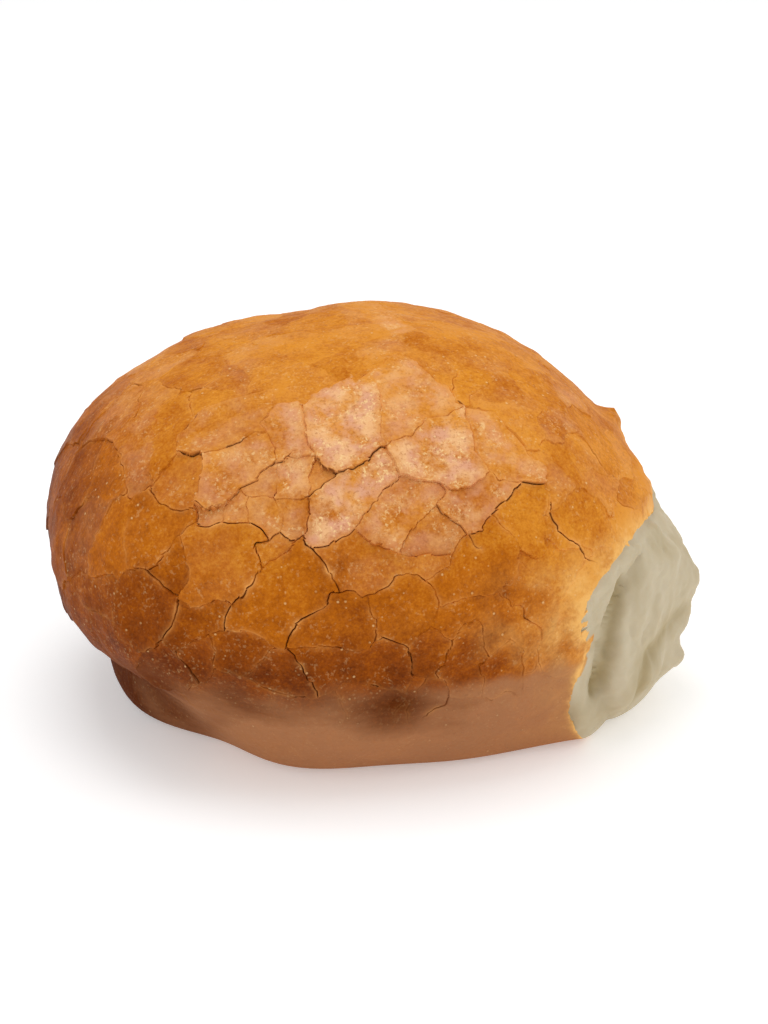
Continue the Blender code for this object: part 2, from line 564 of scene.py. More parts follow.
    def place(self, azimuths: Array, heights: Array) -> Array:
        """The surface points at given places, found by halving the angle over the horizon.

        Args:
            azimuths: Degrees round the loaf.
            heights: Millimetres over the base.

        Returns:
            One surface point for each place.
        """
        angle = np.radians(azimuths)
        low = np.full(len(angle), -math.pi / 2.2)
        high = np.full(len(angle), math.pi / 2.0)
        for _ in range(self.halvings + 4):
            middle = (low + high) / 2.0
            flat = np.cos(middle)
            directions = np.stack([np.cos(angle) * flat, np.sin(angle) * flat, np.sin(middle)], axis=1)
            points = self.cast(directions)
            below = points[:, 2] < heights
            low = np.where(below, middle, low)
            high = np.where(below, high, middle)
        return points

    def normals(self, points: Array) -> Array:
        """Outward directions: the field's slope by central differences."""
        steps = self.normal_reach * np.eye(3)
        slopes = [self.level(points + step) - self.level(points - step) for step in steps]
        return unit(np.stack(slopes, axis=1))


# --------------------------------------------------------------------------- flakes


@dataclass(frozen=True)
class Flake:
    """One flake of the crust.

    Attributes:
        outline: Its corners: degrees clockwise from +X seen from above, and millimetres of height.
        flour_and_sheen: 0 on bare crust, 1 on the palest flake, whose paleness is partly flour and partly a
            painted sheen of light from above.
        tone: How much lighter (+) or darker (-) it is than the crust round it.
        lift: How far it stands out (+) or in (-), in millimetres.
    """

    outline: Places
    flour_and_sheen: float = 0.0
    tone: float = 0.0
    lift: float = 0.0


# The drawn flakes. Neighbours share their corners. The names run from the crown down: A and B
# are the pale crown, C to N the floury flakes under it, whose paleness is partly flour and partly
# painted sheen of light from above, O to U the broad brown ones across the middle, W the row at
# the band, and X the dark ones at the left.
FLAKES = {
    "A": Flake((
        (117.5, 117.8), (114.7, 116.5), (108.4, 116), (104.8, 113.7), (104.3, 110.7), (104.5, 107.5),
        (103.4, 105.6), (105, 104.8), (107.4, 103), (110.2, 101.3), (114.5, 100), (118.7, 101.7),
        (121.3, 103.9), (122.7, 105), (126.6, 110), (129, 112.7), (129.5, 114), (126.3, 115.8),
        (122, 116.7),
    ), flour_and_sheen=1.0, lift=0.35),
    "A2": Flake((
        (114.7, 116.5), (111.6, 117.4), (105, 118.7), (100, 119.5), (85.5, 119.2), (83.5, 117.7),
        (80, 116), (76.6, 114.6), (77.8, 112), (76, 110.8), (83.6, 110), (90, 109.6), (96, 107),
        (98, 107), (100.8, 106.6), (103.4, 105.6), (104.5, 107.5), (104.3, 110.7), (104.8, 113.7),
        (108.4, 116),
    ), flour_and_sheen=0.55, tone=0.1, lift=0.1),
    "B": Flake((
        (103.4, 105.6), (100.8, 106.6), (98, 107), (96, 107), (90, 109.6), (83.6, 110), (76, 110.8),
        (76.8, 107.3), (78.7, 102.5), (78, 100), (76.7, 97.5), (78, 96.8), (82, 95), (86, 94.7),
        (88.6, 95.2), (90.3, 97.3), (95.3, 98), (100, 99), (101.8, 102.3),
    ), flour_and_sheen=1.0, tone=0.15, lift=0.35),
    "C": Flake((
        (138.5, 109), (137.5, 111), (137.6, 112.7), (133, 113.6), (129, 112.7), (126.6, 110),
        (122.7, 105), (121.3, 103.9), (124.2, 103), (127.9, 103.8), (129.6, 102.5), (130.7, 104),
        (132.2, 106), (134.6, 107.7),
    ), flour_and_sheen=0.75, tone=0.1),
    "D": Flake((
        (129.6, 102.5), (127.9, 103.8), (124.2, 103), (121.3, 103.9), (120.5, 101), (120, 95),
        (126.3, 94.8), (127.3, 98.7), (128.5, 100.8),
    ), flour_and_sheen=0.75, tone=0.05, lift=0.1),
    "E": Flake((
        (121.3, 103.9), (118.7, 101.7), (114.5, 100), (116.9, 98), (120, 95), (120.5, 101),
    ), flour_and_sheen=0.3, tone=0.1, lift=-0.2),
    "F": Flake((
        (117.5, 83), (119.7, 86.5), (119.9, 92), (120, 95), (116.9, 98), (114.5, 100), (110.2, 101.3),
        (107.4, 103), (105, 104.8), (103.4, 105.6), (101.8, 102.3), (100, 99), (102.3, 96.5), (104.8, 95),
        (107.1, 90.9), (109.8, 87), (110.9, 86.2), (112.9, 85.1), (115.2, 83.7),
    ), flour_and_sheen=1.0, tone=0.05, lift=0.1),
    "G": Flake((
        (109.8, 87), (107.1, 90.9), (104.8, 95), (102.3, 96.5), (100, 99), (95.3, 98), (90.3, 97.3),
        (90.2, 94.5), (91.9, 91.8), (95.9, 88.4), (98.3, 86.4), (100, 83.5), (101, 81), (104.2, 82.6),
        (107.7, 84),
    ), flour_and_sheen=0.55, tone=-0.1, lift=0.1),
    "I": Flake((
        (91.9, 91.8), (90.2, 94.5), (90.3, 97.3), (88.6, 95.2), (86, 94.7), (82, 95), (78, 96.8),
        (76.7, 97.5), (75.7, 95), (73, 94), (69.8, 93.3), (72.7, 91.5), (76.4, 89.6), (80, 87.4),
        (82.3, 85.5), (82.5, 84), (85.9, 84.2), (87, 87), (90.1, 89.4),
    ), flour_and_sheen=0.6, lift=0.2),
    "J": Flake((
        (76, 110.8), (70, 110), (65.4, 108.6), (66, 104.6), (64.7, 101.5), (63.9, 97.4), (62.7, 94),
        (65, 91), (67.8, 92), (69.8, 93.3), (73, 94), (75.7, 95), (76.7, 97.5), (78, 100), (78.7, 102.5),
        (76.8, 107.3),
    ), flour_and_sheen=0.5, lift=-0.1),
    "K": Flake((
        (91.9, 91.8), (90.1, 89.4), (87, 87), (85.9, 84.2), (87.6, 83.4), (89.6, 80), (90, 79),
        (93.8, 79.5), (98.2, 79.6), (101, 81), (100, 83.5), (98.3, 86.4), (95.9, 88.4),
    ), flour_and_sheen=0.4, tone=-0.12, lift=-0.1),
    "L": Flake((
        (146, 102), (144, 99.3), (142.3, 95.7), (141.2, 91), (139, 90), (136, 92.5), (135, 94.4),
        (134.1, 96), (132.2, 98), (131.1, 99.6), (129.6, 102.5), (130.7, 104), (132.2, 106),
        (134.6, 107.7), (138, 107.4), (140.4, 105.5), (142.3, 103.3),
    ), flour_and_sheen=0.5, tone=0.05, lift=0.1),
    "L2": Flake((
        (134.1, 96), (132.2, 98), (131.1, 99.6), (129.6, 102.5), (128.5, 100.8), (127.3, 98.7),
        (126.3, 94.8), (132.3, 94.8),
    ), flour_and_sheen=0.5, lift=-0.1),
    "M": Flake((
        (150.8, 100.6), (147.5, 101.3), (146, 102), (144, 99.3), (142.3, 95.7), (141.2, 91), (141, 89.4),
        (143.1, 89.1), (146, 89.8), (148.4, 90.2), (152.5, 91.8), (152, 96),
    ), flour_and_sheen=0.1, lift=-0.15),
    "M2": Flake((
        (150.8, 100.6), (147.5, 101.3), (146, 102), (142.3, 103.3), (140.4, 105.5), (138, 107.4),
        (134.6, 107.7), (138.5, 109), (137.5, 111), (142, 115), (150, 113), (155, 108), (153, 103),
    ), flour_and_sheen=0.25, tone=0.05, lift=0.1),
    "N1": Flake((
        (140.2, 87), (141, 89.4), (141.2, 91), (139, 90), (136, 92.5), (135.3, 88.2), (137, 88),
        (138.5, 86.7),
    ), flour_and_sheen=0.6, lift=0.1),
    "N2": Flake((
        (136, 92.5), (135, 94.4), (134.1, 96), (132.3, 94.8), (131.5, 91), (130, 88.2), (131.7, 87.7),
        (133.5, 87.7), (135.3, 88.2),
    ), flour_and_sheen=0.45, tone=0.05),
    "N3": Flake((
        (132.3, 94.8), (126.3, 94.8), (124.6, 90.4), (124.3, 86.2), (125.6, 84.3), (127, 86),
        (128.6, 87.3), (130, 88.2), (131.5, 91),
    ), flour_and_sheen=0.45, tone=0.1),
    "N4": Flake((
        (126.3, 94.8), (120, 95), (119.9, 92), (119.7, 86.5), (120.1, 85.7), (122.9, 85.1), (124.3, 86.2),
        (124.6, 90.4),
    ), flour_and_sheen=0.5, tone=0.1, lift=0.1),
    "O": Flake((
        (140.2, 87), (138.5, 86.7), (137, 88), (135.3, 88.2), (133.5, 87.7), (131.7, 87.7), (130, 88.2),
        (128.6, 87.3), (127, 86), (125.6, 84.3), (126.6, 83.6), (128, 82.5), (127.2, 80.3), (126.2, 78),
        (126.9, 74.3), (128.5, 70.6), (130.5, 66.4), (131.8, 67.4), (133.5, 67.9), (134.9, 66.4),
        (137, 65.3), (139.7, 65.6), (139, 69.3), (138.4, 72.8), (139.4, 78.2), (141.7, 83.6),
    ), flour_and_sheen=0.05, tone=0.05),
    "P": Flake((
        (130.5, 66.4), (128.5, 70.6), (126.9, 74.3), (126.2, 78), (123.5, 79.8), (122, 82.5),
        (120.1, 85.7), (119.7, 86.5), (117.5, 83), (116.3, 80.7), (114.8, 77.3), (113.6, 74.3),
        (112.3, 71), (113.9, 70.3), (114.4, 66.6), (116.3, 64.7), (119.1, 62), (120.2, 59), (120.7, 56),
        (121.2, 54.6), (122.8, 54.5), (125.5, 57.5), (126.4, 59), (128.4, 60), (130, 59.6), (131.3, 59.3),
        (131, 63.4),
    ), lift=0.1),
    "Q": Flake((
        (117.5, 83), (115.2, 83.7), (112.9, 85.1), (110.9, 86.2), (109.8, 87), (107.7, 84), (104.2, 82.6),
        (101, 81), (98.2, 79.6), (93.8, 79.5), (90, 79), (90.2, 75.8), (92.6, 74.8), (96, 73),
        (97.7, 74.6), (102.3, 74.3), (103.4, 72), (105.3, 70), (107.8, 69.4), (110.4, 71.4), (112.3, 71),
        (113.6, 74.3), (114.8, 77.3), (116.3, 80.7),
    ), flour_and_sheen=0.12, tone=0.1, lift=0.1),
    "S2": Flake((
        (141.7, 83.6), (143.2, 79.5), (144.6, 75.6), (145.9, 72.5), (144.3, 70.3), (142.6, 68.4),
        (139.7, 65.6), (139, 69.3), (138.4, 72.8), (139.4, 78.2),
    ), tone=-0.2, lift=-0.2),
    "S3": Flake((
        (126.2, 78), (127.2, 80.3), (128, 82.5), (126.6, 83.6), (125.6, 84.3), (124.3, 86.2),
        (122.9, 85.1), (120.1, 85.7), (122, 82.5), (123.5, 79.8),
    ), flour_and_sheen=0.15, tone=0.1),
    "X1": Flake((
        (141, 89.4), (143.1, 89.1), (146, 89.8), (148.4, 90.2), (152.5, 91.8), (154, 88), (152.3, 82),
        (151.5, 76), (149.8, 71.5), (147.5, 72), (145.9, 72.5), (144.6, 75.6), (143.2, 79.5),
        (141.7, 83.6), (140.2, 87),
    ), flour_and_sheen=0.02, tone=-0.05),
    "T": Flake((
        (112.3, 71), (110.4, 71.4), (107.8, 69.4), (106.6, 69.6), (106, 62.3), (105.5, 55.2), (106, 52.5),
        (107.5, 51.9), (111.1, 52.4), (114, 54.3), (119.5, 54.6), (121.2, 54.6), (120.7, 56), (120.2, 59),
        (119.1, 62), (116.3, 64.7), (114.4, 66.6), (113.9, 70.3),
    ), tone=-0.05),
    "U": Flake((
        (106.6, 69.6), (105.3, 70), (103.4, 72), (102.3, 74.3), (97.7, 74.6), (96, 73), (94, 70),
        (93.4, 64), (94.5, 58.5), (96.8, 56.5), (98.9, 53), (102.4, 54.5), (103.9, 55.8), (105.5, 55.2),
        (106, 62.3),
    ), tone=0.05, lift=0.05),
    "R": Flake((
        (90, 79), (89.6, 80), (87.6, 83.4), (85.9, 84.2), (82.5, 84), (82.3, 85.5), (80, 87.4),
        (77.5, 83), (75.5, 77), (76.5, 71), (80, 67.5), (84, 66), (90, 66), (93.4, 64), (94, 70),
        (96, 73), (92.6, 74.8), (90.2, 75.8),
    )),
    "R2": Flake((
        (80, 87.4), (76.4, 89.6), (72.7, 91.5), (69.8, 93.3), (67.8, 92), (65, 91), (66, 88), (67.5, 84),
        (68.5, 80), (69, 76), (72, 74), (75.5, 77), (77.5, 83),
    ), tone=0.05, lift=0.1),
    "W1": Flake((
        (121.2, 54.6), (119.5, 54.6), (114, 54.3), (111.1, 52.4), (107.5, 51.9), (106, 52.5),
        (105.5, 55.2), (103.9, 55.8), (102.4, 54.5), (98.9, 53), (98.9, 51), (98, 41), (98.5, 38.5),
        (99.3, 36.2), (103.5, 38), (111.3, 41), (113.5, 37.5), (116.5, 36.5), (117, 40), (118, 44.7),
        (118.9, 49.5),
    ), tone=-0.1, lift=-0.1),
    "W2": Flake((
        (98.9, 53), (96.8, 56.5), (94.5, 58.5), (90.9, 53.8), (91, 47), (93.8, 42.8), (93, 40.5),
        (98, 41), (98.9, 51),
    )),
    "W3": Flake((
        (93.8, 42.8), (91, 47), (90.9, 53.8), (87.8, 57.9), (85.3, 58.9), (84.3, 53.7), (82, 46.5),
        (83.8, 43.8), (83, 38), (83.9, 32.6), (87.7, 32.5), (89.9, 33), (90.7, 36.2),
    ), lift=0.05),
    "W4": Flake((
        (83.8, 43.8), (82, 46.5), (78, 50), (74.5, 46), (73.5, 38), (75, 30), (78.1, 31.7), (80.7, 30),
        (83.9, 32.6), (83, 38),
    ), tone=0.05),
    "X2": Flake((
        (139.7, 65.6), (137, 65.3), (134.9, 66.4), (133.5, 67.9), (131.8, 67.4), (130.5, 66.4),
        (131, 63.4), (131.3, 59.3), (134.1, 57), (136, 54), (140, 50), (142, 54), (141, 57),
        (140.6, 61.2),
    ), tone=-0.12, lift=-0.1),
    "X3": Flake((
        (131.3, 59.3), (130, 59.6), (128.4, 60), (126.4, 59), (125.5, 57.5), (122.8, 54.5), (123.6, 53.2),
        (125.9, 49), (127.2, 45), (129, 43), (130.6, 43.5), (134, 45.4), (133.4, 50.5), (134.1, 57),
    ), tone=-0.1, lift=-0.1),
    "X4": Flake((
        (140, 50), (136, 54), (134.1, 57), (133.4, 50.5), (134, 45.4), (135, 41), (137.6, 38.7),
        (138, 42.3), (139, 45.7),
    ), tone=-0.15, lift=0.1),
    "X5": Flake((
        (121.2, 54.6), (122.8, 54.5), (123.6, 53.2), (125.9, 49), (127.2, 45), (129, 43), (126, 40),
        (122, 37.5), (116.5, 36.5), (117, 40), (118, 44.7), (118.9, 49.5),
    ), tone=-0.25, lift=-0.1),
    "X6": Flake((
        (142, 54), (144, 50), (147, 46), (149, 40), (147, 34), (141, 34), (137.6, 38.7), (138, 42.3),
        (139, 45.7), (140, 50),
    ), tone=-0.25),
    "X7": Flake((
        (145.9, 72.5), (144.3, 70.3), (142.6, 68.4), (139.7, 65.6), (140.6, 61.2), (141, 57), (142, 54),
        (144, 50), (147, 46), (151, 50), (152, 58), (151, 66), (149.8, 71.5), (147.5, 72),
    ), tone=-0.25, lift=0.05),
}

# How open the crack between two drawn flakes is, from 0 to 1, where it isn't the usual.
OPEN_EDGES = {
    ("O", "N1"): 0.8, ("O", "N2"): 0.6, ("O", "N3"): 1.0, ("O", "S3"): 0.6, ("P", "O"): 0.9,
    ("S3", "N3"): 0.8, ("S3", "N4"): 0.8, ("P", "N4"): 0.5, ("P", "F"): 0.9, ("P", "Q"): 1.0,
    ("P", "T"): 0.9, ("P", "X5"): 0.8, ("P", "X2"): 0.9, ("P", "X3"): 0.5, ("O", "X2"): 0.6,
    ("O", "S2"): 0.3, ("O", "X1"): 0.5, ("S2", "X1"): 0.5, ("S2", "X7"): 0.6, ("X1", "M"): 0.6,
    ("X1", "N1"): 0.5, ("X1", "X7"): 0.3, ("L", "M"): 0.5, ("L", "N1"): 0.6, ("L", "N2"): 0.5,
    ("L", "L2"): 0.6, ("L2", "C"): 0.4, ("M", "M2"): 0.9, ("F", "N4"): 0.5, ("F", "Q"): 0.8,
    ("F", "G"): 0.5, ("F", "E"): 0.9, ("A", "E"): 0.8, ("A", "F"): 1.0, ("A2", "B"): 0.35,
    ("B", "F"): 0.2, ("B", "G"): 0.15, ("D", "N4"): 0.5, ("D", "N3"): 0.4, ("Q", "T"): 0.6,
    ("Q", "U"): 0.5, ("G", "Q"): 0.25, ("I", "K"): 0.5, ("I", "R"): 0.7, ("I", "R2"): 1.0,
    ("J", "R2"): 0.8, ("T", "W1"): 0.45, ("U", "W1"): 0.8, ("W1", "W2"): 0.7, ("W1", "X5"): 1.0,
    ("X2", "X7"): 0.9, ("X4", "X6"): 1.0, ("X2", "X6"): 0.9, ("X2", "X4"): 0.2, ("T", "U"): 0.35,
    ("W2", "W3"): 0.5, ("X3", "X5"): 0.15,
}

# Cracks that run inside a flake: a route in the same degrees and heights, and its widest opening.
LOOSE_CRACKS = (
    (((65.8, 86.5), (66, 83), (65, 79), (62.5, 74), (60, 70), (57, 66.5)), 1.0),
    (((89.9, 33), (89.8, 30.5), (93.2, 27), (96.4, 23.6)), 0.7),
    (((87.7, 32.5), (89.9, 33)), 0.9),
    (((129.6, 102.5), (128.6, 103.6), (126.9, 104.5)), 0.7),
    (((141.5, 103.9), (140, 105.4), (138.8, 106.9)), 0.8),
    (((128, 82.5), (126.6, 83.6)), 1.0),
    (((85.4, 84), (84.5, 80.5), (83, 78.5)), 0.5),
    (((76, 110.8), (77.3, 112.4)), 0.8),
)


@dataclass
class Survey:
    """What the flake net says about a set of points.

    Attributes:
        own: Each point's flake.
        other: The flake over the nearest edge.
        inset: Distance to that edge, in millimetres.
        open: How open the crack at that edge is, before the place is taken into account.
        drawn: True where the flake or the edge is one of the drawn ones.
    """

    own: Array
    other: Array
    inset: Array
    open: Array
    drawn: Array


@dataclass
class FlakeNet:
    """The crust's flakes: drawn outlines on the front, and scattered ones over the rest.

    A scattered flake holds the points that are nearest its middle in a warped space, less a
    weight that makes some flakes larger. Flakes are numbered, the drawn ones first.

    Attributes:
        form: The plain shape.
        seed: Chooses the scattered flakes and every flake's tilt.
        scattered: How many flakes would cover the whole loaf.
        jitter: How far a middle strays from an even spread, as a share of the radius.
        snap: How near two drawn corners must be to be one, in millimetres.
        step: Spacing of the points along a drawn edge.
        clear: Room between scattered middles and both the drawn corners and the base.
        size_spread: The range that sizes are drawn from, below zero for a small flake.
        size_weight: How much a size weighs.
        flour_and_sheen_mean: Usual paleness of a scattered flake high up, partly flour and partly painted
            sheen.
        flour_and_sheen_spread: How much it varies.
        most_flour_and_sheen: The most that it can be.
        tone_spread: How much a scattered flake's tone varies.
        lift_spread: How much its height varies, in millimetres.
        tilt_spread: How much a flake tilts, as a slope.
        scattered_tilt: The share of that for scattered flakes.
        edge_open: How open a drawn edge is between two drawn flakes, and at the drawn area's end.
        loose_open: How open the widest crack between scattered flakes is.
        ragged: The wander of the drawn edges.
        warp: The wander of the scattered edges.
    """

    form: LoafForm
    seed: int = 11
    scattered: int = 420
    jitter: float = 0.045
    snap: float = 0.9
    step: float = 0.4
    clear: float = 4.0
    size_spread: tuple[float, float] = (-1.0, 4.5)
    size_weight: float = 2.5
    flour_and_sheen_mean: float = 0.06
    flour_and_sheen_spread: float = 0.14
    most_flour_and_sheen: float = 0.4
    tone_spread: float = 0.11
    lift_spread: float = 0.06
    tilt_spread: float = 0.022
    scattered_tilt: float = 0.6
    edge_open: tuple[float, float] = (0.28, 0.2)
    loose_open: float = 0.4
    ragged: Warp = Warp(19, ((13.0, 0.4), (5.0, 0.26), (2.2, 0.12)))
    warp: Warp = Warp(5, ((30.0, 1.5), (13.0, 0.8), (5.0, 0.4), (2.2, 0.16)))

    def __post_init__(self) -> None:
        """Place the drawn outlines, line up their edges, then scatter flakes over the rest."""
        self._place_outlines()
        self._scatter()
        self._draw_edges()

    def chart(self, points: Array) -> Array:
        """Points seen from the centre, laid flat from the lowest direction: circles stay round."""
        directions = unit(points - self.form.centre)
        return directions[:, :2] / (1.0 + directions[:, 2:3])

    def from_chart(self, places: Array) -> Array:
        """The surface points at places of the chart."""
        square = (places**2).sum(axis=1, keepdims=True)
        return self.form.cast(np.hstack([2.0 * places, 1.0 - square]) / (1.0 + square))

    def _place_outlines(self) -> None:
        """Merge corners that nearly coincide, and give each outline the corners on its edges."""
        table = np.vstack([flake.outline for flake in FLAKES.values()])
        corners = self.form.place(-table[:, 0], table[:, 1])
        close = np.linalg.norm(corners[:, None] - corners[None], axis=2) < self.snap
        first = np.argmax(close, axis=1)
        first = first[first]
        used = np.unique(first)
        self.corners = corners
        self.outlines = []
        ends = np.cumsum([len(flake.outline) for flake in FLAKES.values()])
        for ring in np.split(first, ends[:-1]):
            ring = ring[ring != np.roll(ring, 1)]
            edges = zip(ring, np.roll(ring, -1))
            full = [self._edge_corners(int(one), int(two), used) for one, two in edges]
            self.outlines.append(np.concatenate(full))

    def _edge_corners(self, one: int, two: int, used: Array) -> Array:
        """The first corner of an edge and every corner that lies on it.

        Args:
            one: The corner that the edge starts at.
            two: The corner that it ends at.
            used: Every corner of the drawn flakes.

        Returns:
            The corners in order, without the last.
        """
        start, along = self.corners[one], self.corners[two] - self.corners[one]
        offset = self.corners[used] - start
        share = offset @ along / max(along @ along, 1e-9)
        away = np.linalg.norm(offset - share[:, None] * along, axis=1)
        on_edge = (share > 0.03) & (share < 0.97) & (away < self.snap) & (used != one) & (used != two)
        order = np.argsort(share[on_edge])
        return np.concatenate([[one], used[on_edge][order]])

    def _scatter(self) -> None:
        """Scatter flake middles wherever no flake is drawn, and give every flake its looks."""
        source = np.random.default_rng(self.seed)
        strayed = source.normal(scale=self.jitter, size=(self.scattered, 3))
        points = self.form.cast(unit(spiral_directions(self.scattered) + strayed))
        drawn = np.vstack([self.corners[outline] for outline in self.outlines])
        keep = (self.member(points) < 0) & (distance_to(points, drawn) > self.clear)
        keep &= (points[:, 2] > self.clear) & (self.form.past_tear(points) < 3.0)
        points = points[keep]
        self.sites = self.warp.at(points)
        drawn_middles = np.vstack([self.corners[outline].mean(axis=0) for outline in self.outlines])
        self.middles = np.vstack([drawn_middles, points])
        self.count = len(self.outlines)
        spread = source.uniform(*self.size_spread, len(points))
        self.weights = spread * np.abs(spread) * self.size_weight
        flour_and_sheen = source.normal(self.flour_and_sheen_mean, self.flour_and_sheen_spread, len(points))
        # Only flakes high up get it: flour and a painted sheen where the light from above falls.
        flour_and_sheen = np.clip(flour_and_sheen, 0.0, self.most_flour_and_sheen) * ramp(points[:, 2], 60.0, 105.0)
        tone = source.normal(0.0, self.tone_spread, len(points))
        lift = source.normal(0.0, self.lift_spread, len(points))
        flakes = list(FLAKES.values())
        self.flour_and_sheen = np.concatenate([[flake.flour_and_sheen for flake in flakes], flour_and_sheen])
        self.tone = np.concatenate([[flake.tone for flake in flakes], tone])
        self.lift = np.concatenate([[flake.lift for flake in flakes], lift])
        self.tilt = source.normal(0.0, self.tilt_spread, (len(self.middles), 3))
        self.tilt[self.count:] *= self.scattered_tilt

    def _draw_edges(self) -> None:
        """Points along every drawn edge, with the two flakes beside them and their opening."""
        owners: dict[tuple[int, int], list[int]] = {}
        for flake, outline in enumerate(self.outlines):
            for one, two in zip(outline.tolist(), np.roll(outline, -1).tolist()):
                owners.setdefault((min(one, two), max(one, two)), []).append(flake)
        names = list(FLAKES)
        places, pairs, opens, along = [], [], [], []
        for (one, two), flakes in owners.items():
            start, end = self.corners[one], self.corners[two]
            count = max(2, math.ceil(float(np.linalg.norm(end - start)) / self.step))
            share = ((np.arange(count) + 0.5) / count)[:, None]
            flat = self.chart(np.stack([start, end]))
            places.append(flat[0] * (1.0 - share) + flat[1] * share)
            inner = len(flakes) > 1
            pair = (flakes[0], flakes[1] if inner else -1)
            pairs.append(np.tile(pair, (count, 1)))
            key = (names[pair[0]], names[pair[1]]) if inner else ("", "")
            usual = self.edge_open[0] if inner else self.edge_open[1]
            opening = OPEN_EDGES.get(key, OPEN_EDGES.get(key[::-1], usual))
            opens.append(np.full(count, opening))
            along.append(np.tile(unit((end - start)[None]), (count, 1)))
        line = self.from_chart(np.vstack(places))
        self.line = self.form.settle(self.ragged.at(line))
        self.line_pair = np.vstack(pairs)
        self.line_open = np.concatenate(opens)
        self.line_along = np.vstack(along)
        beyond = self.count + self.scattered_near(self.line)[0]
        self.line_pair[:, 1] = np.where(self.line_pair[:, 1] < 0, beyond, self.line_pair[:, 1])

    def member(self, points: Array) -> Array:
        """Find the drawn flake that holds each point, by an even-odd test in the chart.

        Args:
            points: Places on the plain surface.

        Returns:
            Each point's flake, or -1 where no drawn flake holds it.
        """
        shift = points
        for _ in range(3):
            shift = points - (self.ragged.at(shift) - shift)
        places = self.chart(shift)
        member = np.full(len(points), -1)
        for flake, outline in enumerate(self.outlines):
            ring = self.chart(self.corners[outline])
            low, high = ring.min(axis=0), ring.max(axis=0)
            near = np.flatnonzero(((places >= low) & (places <= high)).all(axis=1) & (member < 0))
            across, up = places[near, 0][:, None], places[near, 1][:, None]
            after = np.roll(ring, -1, axis=0)
            spans = (ring[:, 1] > up) != (after[:, 1] > up)
            rise = np.where(after[:, 1] == ring[:, 1], 1e-12, after[:, 1] - ring[:, 1])
            cross = ring[:, 0] + (up - ring[:, 1]) * (after[:, 0] - ring[:, 0]) / rise
            inside = (spans & (across < cross)).sum(axis=1) % 2 == 1
            member[near[inside]] = flake
        return member

    def scattered_near(self, points: Array) -> tuple[Array, Array, Array, Array]:
        """Find the scattered flakes round each point.

        Args:
            points: Places on the plain surface.

        Returns:
            The nearest flake, the second nearest, the distance to the edge between them, and
            the distance to the edge of the third.
        """
        parts = np.array_split(self.warp.at(points), max(1, len(points) // 20_000))
        found = [self._near_part(part) for part in parts]
        return tuple(np.concatenate(column) for column in zip(*found))

    def _near_part(self, warped: Array) -> tuple[Array, Array, Array, Array]:
        """What scattered_near finds for a few points that are already warped."""
        length = (warped**2).sum(axis=1)[:, None]
        square = (length - 2.0 * warped @ self.sites.T + (self.sites**2).sum(axis=1)) - self.weights
        rows = np.arange(len(warped))[:, None]
        best = np.argpartition(square, 3, axis=1)[:, :3]
        best = best[rows, np.argsort(square[rows, best], axis=1)]
        near = square[rows, best]
        second = np.linalg.norm(self.sites[best[:, 1]] - self.sites[best[:, 0]], axis=1)
        third = np.linalg.norm(self.sites[best[:, 2]] - self.sites[best[:, 0]], axis=1)
        inset = (near[:, 1] - near[:, 0]) / (2.0 * second)
        return best[:, 0], best[:, 1], inset, (near[:, 2] - near[:, 0]) / (2.0 * third)

    def survey(self, points: Array) -> Survey:
        """Each point's flake, the flake over its nearest edge, and that edge.

        Args:
            points: Places in millimetres.

        Returns:
            What the net says about them.
        """
        member = self.member(points)
        near, other, inset, _ = self.scattered_near(points)
        away, index = nearest_of(points, self.line)
        own = np.where(member >= 0, member, self.count + near)
        drawn = (member >= 0) | (away < inset)
        pair = self.line_pair[index]
        over = np.where(pair[:, 0] == own, pair[:, 1], pair[:, 0])
        value = self.pair_value(own, self.count + other) + 0.16 * Waves(83, 18.0).at(points)
        return Survey(
            own=own,
            other=np.where(drawn, over, self.count + other),
            inset=np.where(drawn, away, inset),
            open=np.where(drawn, self.line_open[index], self.loose_open * ramp(value, 0.4, 1.0)),
            drawn=drawn,
        )

    def edge_level(self, points: Array, own: Array, other: Array) -> Array:
        """Signed distance to the edge between two scattered flakes, above zero on the first.

        Args:
            points: Places in millimetres.
            own: The first flake of each.
            other: The second.

        Returns:
            Millimetres at each point.
        """
        warped = self.warp.at(points)
        to_own = ((warped - self.sites[own]) ** 2).sum(axis=1) - self.weights[own]
        to_other = ((warped - self.sites[other]) ** 2).sum(axis=1) - self.weights[other]
        return (to_other - to_own) / (2.0 * np.linalg.norm(self.sites[own] - self.sites[other], axis=1))

    def pair_value(self, own: Array, other: Array) -> Array:
        """A value from 0 to 1 that each pair of neighbours keeps, whichever comes first."""
        low = np.minimum(own, other)
        high = np.maximum(own, other)
        return np.abs(np.sin(low * 12.9898 + high * 78.233 + 3.0) * 43758.5453) % 1.0


# --------------------------------------------------------------------------- surface points


class Lie(Enum):
    """Where a point of the surface lies."""

    SKIN = 0
    CRACK = 1
    RIM = 2
    CRUMB = 3
    BASE = 4


